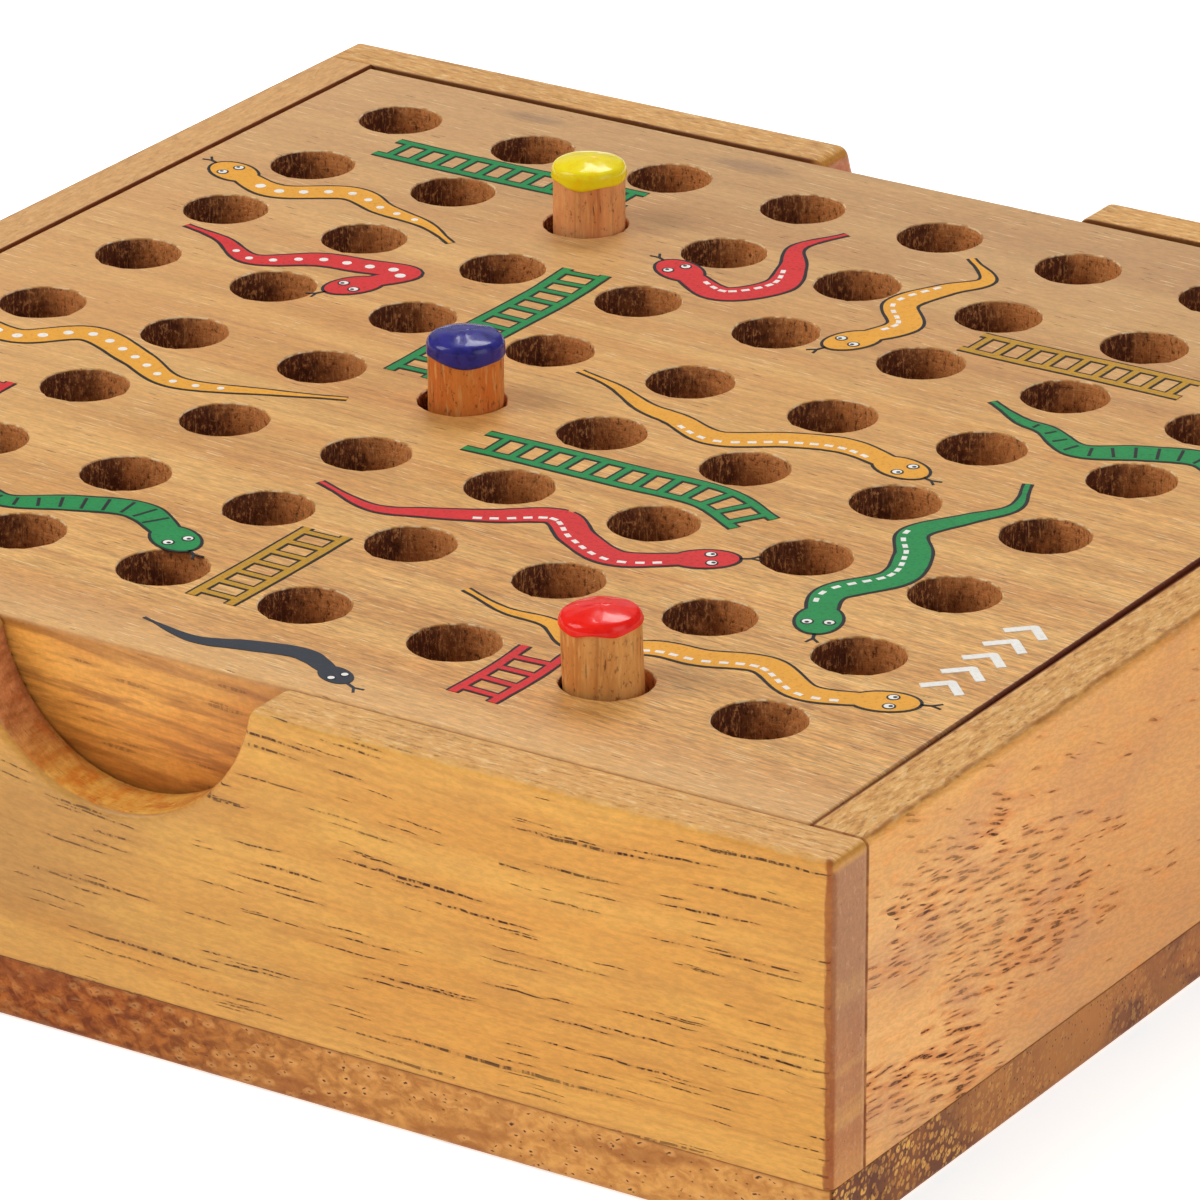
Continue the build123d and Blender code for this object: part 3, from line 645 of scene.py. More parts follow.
def board_extra(g, i, colour, height, rough):
    x, y, z = g.x, g.y, g.z
    top = g.step(z, 36.2, 36.45)
    # rosy and greyish bands that follow the grain
    band = g.noise(g.vec(g.mul(x, 1 / 70), g.mul(g.mad(x, 0.02, y), 1 / 6.5), 2.0), detail=3.0, rough=0.6)
    top_col = g.mix(g.step(band, 0.34, 0.66), srgb(238, 184, 106), srgb(218, 156, 84))
    band2 = g.noise(g.vec(g.mul(x, 1 / 50), g.mul(g.mad(x, 0.02, y), 1 / 1.3), 6.0), detail=3.0, rough=0.6)
    top_col = g.mix(g.mul(g.step(band2, 0.48, 0.72), 0.60), top_col, srgb(194, 132, 76))
    vein = g.noise(g.vec(g.mul(x, 1 / 26), g.mul(g.mad(x, 0.04, y), 2.3), 16.0), detail=4.0, rough=0.65)
    top_col = g.mix(g.mul(g.step(vein, 0.54, 0.70), 0.42), top_col, srgb(168, 110, 60))
    top_col = g.mix(g.mul(g.step(vein, 0.44, 0.30), 0.30), top_col, srgb(244, 196, 130))
    fine2 = g.noise(g.vec(g.mul(x, 1 / 7), g.mul(g.mad(x, 0.03, y), 4.5), 1.0), detail=3.0, rough=0.65)
    top_col = g.gain(top_col, g.mad(fine2, 0.26, 0.87))
    tone = g.noise(g.vec(g.mul(x, 1 / 60), g.mul(g.mad(x, 0.03, y), 1 / 4.5), 23.0), detail=2.0)
    top_col = g.gain(top_col, g.mad(g.step(tone, 0.34, 0.66), 0.13, 0.93))
    where = g.step(g.add(g.mul(x, 0.6), g.mul(y, -0.8)), -30.0, 80.0)
    fibre2 = g.noise(g.vec(g.mul(x, 1 / 3.4), g.mul(g.mad(x, 0.05, y), 2.1), 31.0), detail=3.0, rough=0.7)
    top_col = g.gain(top_col, g.mad(g.sub(fibre2, 0.5), g.mad(where, 0.85, 0.30), 1.0))
    hair = g.noise(g.vec(g.mul(x, 1 / 2.2), g.mul(g.mad(x, 0.06, y), 3.2), 41.0), detail=2.0, rough=0.75)
    top_col = g.gain(top_col, g.mad(g.sub(g.step(hair, 0.36, 0.64), 0.5), g.mad(where, 0.28, 0.05), 1.0))
    top_col = g.mix(g.product(where, g.step(fibre2, 0.46, 0.32), 0.35), top_col, srgb(150, 98, 54))
    # greyer towards the back and paler at the left end, a painted sheen; paler along the front as well
    top_col = g.mix(g.mul(g.step(y, 5.0, 66.0), 0.55), top_col, srgb(188, 152, 116))
    light_end = g.max(g.step(y, -58.0, -68.0), g.mul(g.step(x, -20.0, -70.0), 0.7))
    top_col = g.mix(g.mul(light_end, 0.55), top_col, srgb(232, 182, 124))
    colour = g.mix(g.mul(top, 0.85), colour, top_col)
    # pale hairs, more of them towards the front right
    slope = g.mad(x, 0.075, y)
    h1, _, _ = pore_layer(g, x, slope, 11, 0.36, 0.11, seed=25.0, keep=g.mad(where, 0.36, 0.32), bead=0.9)
    h2, _, _ = pore_layer(g, x, g.mad(x, 0.13, y), 6, 0.50, 0.13, seed=27.0, keep=g.mad(where, 0.22, 0.08), bead=1.5)
    colour = g.mix(g.product(top, g.max(h1, h2), 0.70), colour, srgb(255, 222, 166))
    d1, _, _ = pore_layer(g, x, slope, 9, 0.9, 0.12, seed=29.0, keep=0.30, bead=2.0)
    colour = g.mix(g.product(top, d1, 0.70), colour, srgb(98, 54, 28))
    # painted shade in the gap along the right edge, on the board's rounded top edge
    from_edge = g.sub(g.mad(y, -0.00617, 68.825), x)
    gap_shade_right = g.noise(g.vec(3.0, g.mul(y, 0.6), 1.0), detail=3.0, rough=0.65)
    gap_shade_right = g.mul(g.step(g.mad(gap_shade_right, -0.22, from_edge), 0.26, 0.17), g.step(y, -68.0, -36.0))
    colour = g.mix(g.mul(g.step(z, 36.0, 36.15), g.mul(gap_shade_right, 0.94)), colour, srgb(92, 26, 14))
    # grey-brown stains near the back edge
    for cx, cy, rx, ry in ((-19.5, 64.2, 6.5, 2.1), (-46.0, 64.6, 5.0, 1.6)):
        spot = g.vmath("LENGTH", g.vec(g.mul(g.sub(x, cx), 1 / rx), g.mul(g.sub(y, cy), 1 / ry), 0.0))
        spot = g.mul(g.step(g.mad(fine2, 0.5, spot), 1.35, 0.55), top)
        colour = g.mix(g.mul(spot, 0.42), colour, srgb(132, 104, 88))
    # drill walls, torn and burnt, with painted shade on the side turned away from the light
    within = g.mul(g.step(g.abs(x), 64.0, 63.0), g.step(g.abs(y), 64.0, 63.0))
    hole = g.mul(g.step(z, 36.44, 36.30), within)
    shade_wobble = g.noise(g.vec(g.mul(x, 0.5), g.mul(y, 0.5), g.mul(z, 0.4)), detail=2.0)
    torn = g.noise(g.vec(g.mul(x, 2.4), g.mul(y, 2.4), g.mul(z, 1.5)), detail=4.0, rough=0.72)
    turn = g.noise(g.vec(g.mul(x, 0.3), g.mul(y, 0.3), g.mul(z, 5.0)), detail=2.0)
    facing = g.mad(g.nx, 0.86, g.mul(g.ny, 0.50))
    shaded_side = g.step(g.add(facing, g.mul(g.sub(shade_wobble, 0.5), 1.2)), -0.55, 0.55)
    burn_and_shade = g.mix(shaded_side, srgb(222, 142, 78), srgb(88, 38, 18))
    burn_and_shade = g.mix(g.mul(g.step(torn, 0.52, 0.64), 0.62), burn_and_shade, srgb(226, 160, 98))
    burn_and_shade = g.mix(g.mul(g.step(torn, 0.47, 0.34), 0.78), burn_and_shade, srgb(56, 24, 12))
    scratch = g.noise(g.vec(g.mul(x, 5.5), g.mul(y, 5.5), g.mul(z, 0.45)), detail=3.0, rough=0.7)
    burn_and_shade = g.mix(g.product(g.step(scratch, 0.56, 0.68), g.step(z, 29.0, 33.0), 0.50), burn_and_shade, srgb(240, 178, 116))
    burn_and_shade = g.gain(burn_and_shade, g.mad(turn, 0.44, 0.80))
    groove = g.noise(g.vec(g.mul(x, 4.6), g.mul(y, 4.6), g.mul(z, 0.55)), detail=3.0, rough=0.7)
    burn_and_shade = g.gain(burn_and_shade, g.mad(groove, 0.50, 0.77))
    # painted shade deeper down in the hole
    deep = g.step(z, 34.5, 29.0)
    burn_and_shade = g.mix(g.mul(deep, 0.4), burn_and_shade, srgb(90, 42, 20))
    colour = g.mix(g.mul(hole, 0.97), colour, burn_and_shade)
    # bare wood where the rim has chipped
    chip = g.noise(g.vec(g.mul(x, 0.8), g.mul(y, 0.8), 11.0), detail=1.5)
    rim = g.product(g.step(z, 36.28, 36.40), g.step(z, 36.5, 36.475), within)
    colour = g.mix(g.product(rim, g.step(chip, 0.46, 0.58), 0.9), colour, srgb(252, 216, 164))
    colour = g.mix(g.product(rim, g.step(chip, 0.42, 0.34), 0.25), colour, srgb(130, 76, 40))
    # the edge of the board, seen in the finger notches: painted brighter near the notches to lift their shade, plainer
    # and darker away from them, and darker towards the bottom
    side = g.mul(g.step(z, 36.3, 35.8), g.sub(1.0, within))
    edge_line = g.noise(g.vec(g.mul(x, 1 / 11), g.mul(g.mad(x, 0.03, z), 0.72), 5.0), detail=4.0, rough=0.68, dist=0.3)
    edge_col = g.mix(g.step(g.noise(g.vec(g.mul(x, 1 / 16), g.mul(z, 1 / 6), 1.0), detail=2.0), 0.35, 0.65),
                     srgb(250, 176, 80), srgb(232, 152, 60))
    edge_col = g.mix(g.mul(g.step(edge_line, 0.50, 0.68), 0.55), edge_col, srgb(156, 84, 34))
    streaks = g.noise(g.vec(g.mul(x, 1 / 24), g.mul(g.mad(x, 0.07, z), 0.55), 9.0), detail=3.0, rough=0.6)
    edge_col = g.mix(g.mul(g.step(streaks, 0.48, 0.62), 0.55), edge_col, srgb(148, 82, 34))
    edge_col = g.mix(g.mul(g.step(z, 28.0, 24.0), 0.40), edge_col, srgb(156, 78, 22))
    high = g.mul(g.step(z, 32.0, 35.5), g.step(x, -14.0, 8.0))
    edge_col = g.mix(g.mul(high, 0.40), edge_col, srgb(176, 124, 82))
    plain_edge = g.mix(g.step(edge_line, 0.42, 0.66), srgb(222, 158, 92), srgb(186, 122, 66))
    edge_col = g.mix(g.mul(g.step(g.abs(x), 15.0, 32.0), 0.72), edge_col, plain_edge)
    chatter = g.noise(g.vec(g.mul(g.mad(z, 0.3, x), 2.6), g.mul(z, 0.62), 2.0), detail=3.5, rough=0.7)
    edge_col = g.gain(edge_col, g.mad(chatter, 0.26, 0.87))
    e1, eh, _ = pore_layer(g, x, g.mad(x, 0.03, z), 13, 1.3, 0.38, seed=33.0, keep=0.75, bead=2.6)
    edge_col = g.mix(g.mul(eh, 0.30), edge_col, srgb(150, 80, 30))
    edge_col = g.mix(g.mul(e1, 0.55), edge_col, srgb(96, 44, 18))
    colour = g.mix(g.product(side, i["lateral"], 0.95), colour, edge_col)
    # dark in the gaps beside the walls, rubbed off below
    shade_bottom = g.mad(g.noise(g.vec(g.mul(g.add(x, y), 0.3), g.mul(z, 0.8), 17.0), detail=3.0), 1.4, 33.9)
    gap = g.product(g.step(z, 36.25, 35.9), g.step(g.sub(z, shade_bottom), 0.0, 0.9), g.sub(1.0, within),
                    g.max(g.step(g.abs(x), 68.0, 68.3), g.step(g.abs(x), 15.5, 16.5)))
    colour = g.mix(g.mul(gap, 0.75), colour, srgb(88, 40, 18))
    rough = g.lerp(hole, rough, 0.6)
    height = g.add(height, g.mul(hole, g.add(g.mul(torn, 0.22), g.mul(turn, 0.05))))
    height = g.add(height, g.mul(g.mul(g.max(h1, h2), top), -0.012))
    height = g.add(height, g.mul(g.mul(fine2, top), 0.012))
    return colour, height, rough


board_wood = wood(
    "wood_play_board", "x", (214, 158, 98), (198, 138, 82), (182, 118, 68), 3.7,
    pores=((24, 0.9, 0.13, 0.35), (14, 0.7, 0.11, 0.2)), flow=board_flow, band_amt=0.6, streak_amt=0.35,
    end_base=(188, 122, 64), micro=0.14, extra=board_extra, pore_strength=0.6, rough=0.42, coat=0.09, spec=0.22,
)


def peg_wood(name, along, base, warm, streak, seed):
    def extra(g, i, colour, height, rough):
        speck = g.noise(g.vec(g.mul(g.x, 2.2), g.mul(g.y, 2.2), g.mul(g.z, 1.5)), detail=3.0, rough=0.7)
        colour = g.mix(g.mul(g.step(speck, 0.56, 0.70), 0.6), colour, srgb(104, 54, 24))
        pale = g.noise(g.vec(g.mad(g.x, 3.0, 5.0), g.mul(g.y, 3.0), g.mul(g.z, 0.4 if along == "z" else 3.0)), detail=2.0)
        colour = g.mix(g.mul(g.step(pale, 0.54, 0.70), 0.5), colour, srgb(240, 188, 116))
        return colour, g.sub(height, g.mul(g.step(speck, 0.60, 0.72), 0.04)), rough
    return wood(name, along, base, warm, streak, seed, pores=((11, 0.8, 0.14, 0.45), (6, 0.5, 0.10, 0.5)), band_scale=3.2,
                band_amt=0.9, streak_amt=0.7, fibre_amt=0.14, end_base=warm, extra=extra, rough=0.46, coat=0.2,
                pore_strength=0.7, pore_dark=(100, 54, 26))


red_peg_wood = peg_wood("wood_red_peg", "z", (230, 168, 96), (212, 136, 66), (170, 98, 44), 2.2)
warm_peg_wood = peg_wood("wood_blue_peg", "z", (230, 140, 64), (212, 112, 44), (166, 78, 28), 6.4)
yellow_peg_wood = peg_wood("wood_yellow_peg", "z", (236, 164, 104), (220, 138, 82), (170, 96, 50), 8.8)
green_peg_wood = peg_wood("wood_green_peg", "y", (204, 144, 88), (184, 116, 62), (150, 90, 48), 7.9)
strip_wood = wood(
    "wood_rest_strips", "y", (214, 164, 104), (196, 140, 80), (170, 112, 62), 11.5, pores=((16, 0.7, 0.15, 0.7),),
    rough=0.6, coat=0.05,
)


def die_extra(g, i, colour, height, rough):
    """Ink in the pips: whatever lies below the cube's faces."""
    dx = g.abs(g.sub(g.x, -54.0))
    dy = g.abs(g.sub(g.y, 22.0))
    dz = g.abs(g.sub(g.z, 12.0))
    deepest = g.max(g.max(dx, dy), dz)
    ink_in = g.step(deepest, 5.94, 5.86)
    centre = g.step(g.total(g.gt(dx, 4.7), g.gt(dy, 4.7), g.gt(dz, 4.7)), 1.6, 1.4)
    colour = g.mix(g.product(ink_in, centre, 0.97), colour, srgb(24, 20, 20))
    return colour, height, rough


die_wood = wood(
    "wood_die", "z", (226, 186, 130), (212, 166, 108), (186, 136, 84), 13.1, pores=((7, 0.6, 0.12, 0.5),),
    band_scale=2.0, extra=die_extra, rough=0.45, coat=0.2,
)

for names, material in (
    (("front_wall", "back_wall"), front_wood),
    (("right_wall", "left_wall"), side_wood),
    (("base_board",), base_wood),
    (("red_peg",), red_peg_wood),
    (("blue_peg",), warm_peg_wood),
    (("yellow_peg",), yellow_peg_wood),
    (("green_peg",), green_peg_wood),
    (("right_rest_strip", "left_rest_strip"), strip_wood),
    (("die",), die_wood),
):
    for n in names:
        nodes[n].data.materials.clear()
        nodes[n].data.materials.append(material)


# ---------------------------------------------------------------- paint and ink
def paint(name, colour, deep, rough=0.08, seed=0.0):
    """Thick brushed enamel: a little colour change, bubbles and brush waves."""
    g = Graph(name)
    thin = g.noise(g.P, scale=0.9, detail=3.0, rough=0.6)
    col = g.mix(g.step(thin, 0.44, 0.72), srgb(*colour), srgb(*deep))
    wave = g.noise(g.P, scale=0.40, detail=1.5)
    ripple = g.noise(g.P, scale=2.2, detail=1.0)
    cell = g.voronoi(g.vec(g.add(g.x, seed), g.y, g.z), scale=0.42, dims="3D")
    d = cell.outputs["Distance"]
    bubble = g.mul(g.step(d, 0.20, 0.08), g.gt(g.split(cell.outputs["Color"])[0], 0.55))
    height = g.total(g.mul(wave, 0.09), g.mul(ripple, 0.006), g.mul(bubble, 0.05))
    normal = g.bump(height)
    return g.shader(col, g.mad(thin, 0.08, rough + 0.12), normal, coat=0.20, coat_rough=0.05, coat_normal=normal, spec=0.20)


def ink(name, colour, worn):
    """Screen-printed ink: slightly uneven cover, matt against the varnish."""
    g = Graph(name)
    cover = g.noise(g.P, scale=3.0, detail=3.0, rough=0.65)
    blot = g.noise(g.P, scale=0.35, detail=2.0)
    col = g.mix(g.step(cover, 0.48, 0.72), srgb(*colour), srgb(*worn))
    col = g.gain(col, g.mad(blot, 0.2, 0.9))
    grain = g.noise(g.vec(g.mul(g.x, 0.5), g.mul(g.y, 6.0), g.z), detail=2.0)
    height = g.add(g.mul(cover, 0.008), g.mul(grain, 0.01))
    return g.shader(col, g.mad(cover, 0.2, 0.36), g.bump(height), spec=0.22)


INKS = {
    "black": (ink("ink_black", (22, 20, 26), (44, 38, 38)), "ink_black"),
    "orange": (ink("ink_orange", (244, 172, 48), (230, 152, 40)), "ink_orange"),
    "green": (ink("ink_green", (8, 146, 72), (18, 126, 66)), "ink_green"),
    "red": (ink("ink_red", (226, 36, 38), (198, 34, 34)), "ink_red"),
    "slate": (ink("ink_slate", (44, 50, 62), (60, 64, 72)), "ink_slate"),
    "white": (ink("ink_white", (248, 246, 240), (236, 228, 214)), "ink_white"),
    "gold": (ink("ink_gold", (202, 150, 22), (180, 128, 24)), "ink_gold"),
}


def new_object(name, verts, faces, material, smooth=True):
    mesh = bpy.data.meshes.new(name)
    mesh.from_pydata([tuple(c * MM for c in v) for v in verts], [], faces)
    mesh.validate()
    bm = bmesh.new()
    bm.from_mesh(mesh)
    bmesh.ops.recalc_face_normals(bm, faces=bm.faces)
    bm.to_mesh(mesh)
    bm.free()
    for p in mesh.polygons:
        p.use_smooth = smooth
    mesh.materials.append(material)
    o = bpy.data.objects.new(name, mesh)
    bpy.context.scene.collection.objects.link(o)
    return o


# ---- the play board: a slab with 64 blind holes whose rims are torn a little
def play_board():
    corners = [Vector(c) for c in ((-69.10, -69.28), (69.25, -69.28), (68.40, 68.50), (-69.10, 68.50))]
    ease, low = 0.35, 21.5
    inward = []
    for k in range(4):
        d = (corners[(k + 1) % 4] - corners[k]).normalized()
        inward.append(Vector((-d.y, d.x)))
    centres = []
    for k in range(4):
        p, q = inward[k - 1], inward[k]
        centres.append(corners[k] + (p + q) * (ease / (1.0 + p.dot(q))))

    def outline(inset, wear):
        """The board's outline drawn in by inset, plus a little uneven wear."""
        pts = []
        for k in range(4):
            t0 = math.atan2(-inward[k - 1].y, -inward[k - 1].x)
            for j in range(5):
                t = t0 + math.pi / 2 * j / 4
                r = max(0.012, ease - inset - wear * 0.08)
                pts.append(centres[k] + Vector((math.cos(t), math.sin(t))) * r)
            p, q = centres[k], centres[(k + 1) % 4]
            for j in range(1, 80):
                c = p.lerp(q, j / 80)
                n = 0.5 + noise.noise(Vector((c.x * 0.35, c.y * 0.35, 3.0))) + 0.6 * noise.noise(Vector((c.x * 1.3, c.y * 1.3, 9.0)))
                pts.append(c - inward[k] * (ease - inset - wear * max(0.0, n)))
        return pts

    verts, faces, smooth = [], [], []

    def loop(pts, z):
        base = len(verts)
        verts.extend((p.x, p.y, z) for p in pts)
        return list(range(base, base + len(pts)))

    def band(lower, upper, flag=True):
        n = len(lower)
        for k in range(n):
            m = (k + 1) % n
            faces.append([lower[k], lower[m], upper[m], upper[k]])
            smooth.append(flag)

    levels = [(low, ease * 0.8, 0.0), (low + 0.08, ease * 0.3, 0.0), (low + ease, 0.0, 0.0), (TOP - ease, 0.0, 0.0)]
    for k in range(1, 6):
        t = math.pi / 2 * k / 5
        levels.append((TOP - ease + ease * math.sin(t), ease * (1 - math.cos(t)), 0.05 * math.sin(t)))
    loops = [loop(outline(inset, wear), z) for z, inset, wear in levels]
    for lower, upper in zip(loops, loops[1:]):
        band(lower, upper)
    faces.append(list(reversed(loops[0])))
    smooth.append(False)

    rims = []
    n = 60
    dice = random.Random(77)
    for index, (cx, cy) in enumerate(HOLES):
        chips = [(dice.uniform(0, 360), dice.uniform(3.0, 9.0), dice.uniform(0.04, 0.17)) for _ in range(dice.randint(3, 5))]
        # fibres lift most where the bit crosses them
        chips += [(side + dice.uniform(-28, 28), dice.uniform(3.0, 6.0), dice.uniform(0.05, 0.20)) for side in (90, 270)]

        def torn(t):
            deg = math.degrees(t)
            r = 0.18 + 0.05 * noise.noise(Vector((index * 3.1, 1.7 * math.cos(t), 1.7 * math.sin(t))))
            r += 0.02 * noise.noise(Vector((index * 7.7, 9.0 * math.cos(t), 9.0 * math.sin(t))))
            for c, w, d in chips:
                gap = (deg - c + 180) % 360 - 180
                r += d * math.exp(-((gap / w) ** 2))
            return max(0.05, r)

        edge = [torn(2 * math.pi * k / n) for k in range(n)]
        below = None
        rows = ((36.5, 1.0, 0.0), (36.42, 0.72, 0.0), (36.26, 0.30, 0.02), (35.9, 0.10, 0.05), (35.2, 0.0, 0.08), (34.3, 0.0, 0.09),
                (33.3, 0.0, 0.09), (32.0, 0.0, 0.08), (30.2, 0.0, 0.07), (27.6, 0.0, 0.06), (24.9, 0.0, 0.04), (HOLE_FLOOR, 0.0, 0.01))
        for z, share, rag in rows:
            pts = []
            for k in range(n):
                t = 2 * math.pi * k / n
                g = noise.noise(Vector((index * 5.3 + math.cos(t) * 3.2, math.sin(t) * 3.2, z * 0.9)))
                r = HOLE_R + 0.005 + share * edge[k] + rag * max(0.0, 0.45 + g)
                pts.append(Vector((cx + r * math.cos(t), cy + r * math.sin(t))))
            ring = loop(pts, z)
            if below is None:
                rims.append((ring, pts))
            else:
                band(ring, below)
            below = ring
        centre = len(verts)
        verts.append((cx, cy, HOLE_FLOOR))
        for k in range(n):
            faces.append([below[k], below[(k + 1) % n], centre])
            smooth.append(False)

    # the top face, between the outline and the rims
    coords, rings, owner = [], [], []
    for ring, pts in [(loops[-1], outline(levels[-1][1], levels[-1][2]))] + rims:
        rings.append(list(range(len(coords), len(coords) + len(pts))))
        coords.extend(pts)
        owner.extend(ring)
    out_v, _, out_f, from_v, _, from_f = geometry.delaunay_2d_cdt(coords, [], rings, 1, 1e-5)
    index_of = []
    for k, source in enumerate(from_v):
        if len(source):
            index_of.append(owner[source[0]])
        else:
            index_of.append(len(verts))
            verts.append((out_v[k].x, out_v[k].y, TOP))
    for f, source in zip(out_f, from_f):
        if list(source) == [0]:
            faces.append([index_of[k] for k in f])
            smooth.append(False)
    o = new_object("play_board_top_and_holes", verts, faces, board_wood)
    for p, flag in zip(o.data.polygons, smooth):
        p.use_smooth = flag
    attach(o, "board")
    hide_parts("play_board")
    edges = {}
    for p in o.data.polygons:
        for e in p.edge_keys:
            edges[e] = edges.get(e, 0) + 1
    print("play board: faces", len(o.data.polygons), "open or doubled edges", sum(1 for v in edges.values() if v != 2))


play_board()


# ---- printed motifs, as outlines on the board's top, all in millimetres
def spline(points, per=14):
    """A Catmull-Rom curve through the points."""
    pts = [Vector(p) for p in points]
    ext = [pts[0] * 2 - pts[1], *pts, pts[-1] * 2 - pts[-2]]
    out = []
    for k in range(1, len(ext) - 2):
        p0, p1, p2, p3 = ext[k - 1: k + 3]
        for s in range(per):
            t = s / per
            out.append(0.5 * ((2 * p1) + (p2 - p0) * t + (2 * p0 - 5 * p1 + 4 * p2 - p3) * t * t
                              + (3 * p1 - p0 - 3 * p2 + p3) * t ** 3))
    out.append(pts[-1].copy())
    return out


def along_of(path):
    """Running length at each point, and unit normals to the left."""
    run = [0.0]
    for p, q in zip(path, path[1:]):
        run.append(run[-1] + (q - p).length)
    side = []
    for k in range(len(path)):
        d = (path[min(k + 1, len(path) - 1)] - path[max(k - 1, 0)]).normalized()
        side.append(Vector((-d.y, d.x)))
    return run, side


def at(path, run, side, s):
    """Point and normal at a running length."""
    s = max(0.0, min(run[-1], s))
    k = 0
    while k < len(run) - 2 and run[k + 1] < s:
        k += 1
    t = (s - run[k]) / max(1e-9, run[k + 1] - run[k])
    return path[k].lerp(path[k + 1], t), side[k].lerp(side[k + 1], t).normalized()


def strip_polys(path, half):
    """The quads of a stroke whose half width half(k) varies along it."""
    run, side = along_of(path)
    left = [p + n * half(k) for k, (p, n) in enumerate(zip(path, side))]
    right = [p - n * half(k) for k, (p, n) in enumerate(zip(path, side))]
    return [[right[k], right[k + 1], left[k + 1], left[k]] for k in range(len(path) - 1)]


def disc_poly(c, r, n=20, rx=None, turn=0.0):
    rx = r if rx is None else rx
    ct, st = math.cos(turn), math.sin(turn)
    pts = []
    for k in range(n):
        t = 2 * math.pi * k / n
        px, py = rx * math.cos(t), r * math.sin(t)
        pts.append(Vector((c.x + px * ct - py * st, c.y + px * st + py * ct)))
    return pts


class Print:
    """Collects polygons by ink, then turns each ink into one thin closed mesh."""

    def __init__(self):
        self.polys = {}

    def put(self, ink_name, polys):
        self.polys.setdefault(ink_name, []).append(polys)

    def shells(self, groups):
        verts, faces = [], []
        for polys, lo, hi in groups:
            coords, rings = [], []
            for poly in polys:
                rings.append(list(range(len(coords), len(coords) + len(poly))))
                coords.extend(poly)
            out_v, _, out_f, _, _, origin = geometry.delaunay_2d_cdt(coords, [], rings, 1, 1e-4)
            out_f = [f for f, o in zip(out_f, origin) if len(o)]
            base = len(verts)
            n = len(out_v)
            verts.extend((p.x, p.y, hi) for p in out_v)
            verts.extend((p.x, p.y, lo) for p in out_v)
            count = {}
            tris = []
            for f in out_f:
                f = list(f)
                area = sum(out_v[f[k]].x * out_v[f[(k + 1) % len(f)]].y - out_v[f[(k + 1) % len(f)]].x * out_v[f[k]].y
                           for k in range(len(f)))
                if area < 0:
                    f.reverse()
                tris.append(f)
                for k in range(len(f)):
                    e = (f[k], f[(k + 1) % len(f)])
                    count[e] = count.get(e, 0) + 1
            for f in tris:
                faces.append([base + k for k in f])
                faces.append([base + n + k for k in reversed(f)])
                for k in range(len(f)):
                    p, q = f[k], f[(k + 1) % len(f)]
                    if (q, p) not in count:
                        faces.append([base + q, base + p, base + n + p, base + n + q])
        used = sorted({k for f in faces for k in f})
        index = {k: i for i, k in enumerate(used)}
        return [verts[k] for k in used], [[index[k] for k in f] for f in faces]


LAYERS = {"under": (TOP - 0.03, TOP + 0.035), "fill": (TOP - 0.03, TOP + 0.055), "mark": (TOP - 0.03, TOP + 0.075), "dot": (TOP - 0.03, TOP + 0.09),
          "pupil": (TOP - 0.03, TOP + 0.105)}
printed = Print()
rnd = random.Random(41)


def lay(ink_name, layer, polys):
    lo, hi = LAYERS[layer]
    printed.polys.setdefault(ink_name, []).append((polys, lo, hi))


def rough_edge(seed, amount=0.05):
    return lambda k, s: amount * noise.noise(Vector((seed, k * 0.31, s)))


def snake(points, colour, body=1.62, head=2.75, seed=1.0, marks="dots", tail_end=0.14, outline=0.32):
    """A plain serpent sign: an oval head, a body that tapers to a point, and marks down its back."""
    path = spline(points)
    run, side = along_of(path)
    total = run[-1]

    def width(k):
        s = run[k] / total
        neck = 0.72 + 0.28 * min(1.0, s / 0.18)
        taper = 1.0 if s < 0.42 else max(tail_end, 1.0 - ((s - 0.42) / 0.58) ** 1.25)
        return body * neck * taper

    edge = rough_edge(seed)
    d = (path[0] - path[3]).normalized()
    nose = math.atan2(d.y, d.x)
    hc = path[0] + d * head * 0.35
    head_in = disc_poly(hc, head * 0.74, 28, head * 1.12, nose)
    head_out = disc_poly(hc, head * 0.74 + outline, 28, head * 1.12 + outline, nose)
    dark = colour == "slate"
    if not dark:
        lay("black", "under", strip_polys(path, lambda k: width(k) + outline + edge(k, 5.0)) + [head_out])
    lay(colour, "fill", strip_polys(path, lambda k: width(k) + edge(k, 1.0)) + [head_in])
    # tongue: a short fork
    n = Vector((-d.y, d.x))
    tip = hc + d * head * 1.1
    fork = [tip - d * 0.3, tip + d * 1.1]
    lay("black" if not dark else colour, "under", strip_polys(fork, lambda k: 0.16)
        + strip_polys([fork[1], fork[1] + d * 0.9 + n * 0.55], lambda k: 0.13)
        + strip_polys([fork[1], fork[1] + d * 0.9 - n * 0.55], lambda k: 0.13))
    # eyes
    for s in (-1, 1):
        e = hc + n * s * head * 0.36 + d * head * 0.2
        lay("black", "mark", [disc_poly(e, head * 0.23, 16)])
        lay("white", "dot", [disc_poly(e, head * 0.17, 14)])
        if not dark:
            lay("black", "pupil", [disc_poly(e + d * head * 0.06, head * 0.075, 10)])
    if marks == "dots":
        s = 4.2
        while s < total * 0.78:
            p, m = at(path, run, side, s)
            r = body * 0.36 * (1.0 - 0.5 * s / total)
            lay("white" if not dark else "black", "mark", [disc_poly(p, r, 12)])
            s += 2.5
    elif marks == "bars":
        s = 3.8
        while s < total * 0.8:
            p, m = at(path, run, side, s)
            w = body * 0.82 * (1.0 if s < total * 0.35 else 1.0 - (s / total - 0.35) / 0.65)
            lay("black", "mark", [[q for q in (p + m * w + m.orthogonal() * 0.16, p - m * w + m.orthogonal() * 0.16,
                                                p - m * w - m.orthogonal() * 0.16, p + m * w - m.orthogonal() * 0.16)]])
            s += 2.1
    elif marks == "belly":
        s = 3.4
        while s < total * 0.6:
            p, m = at(path, run, side, s)
            q = p + m * body * 0.45
            t = Vector((m.y, -m.x))
            lay("white", "mark", [[q + t * 0.42 + m * 0.22, q - t * 0.42 + m * 0.22, q - t * 0.42 - m * 0.26, q + t * 0.42 - m * 0.26]])
            s += 1.5


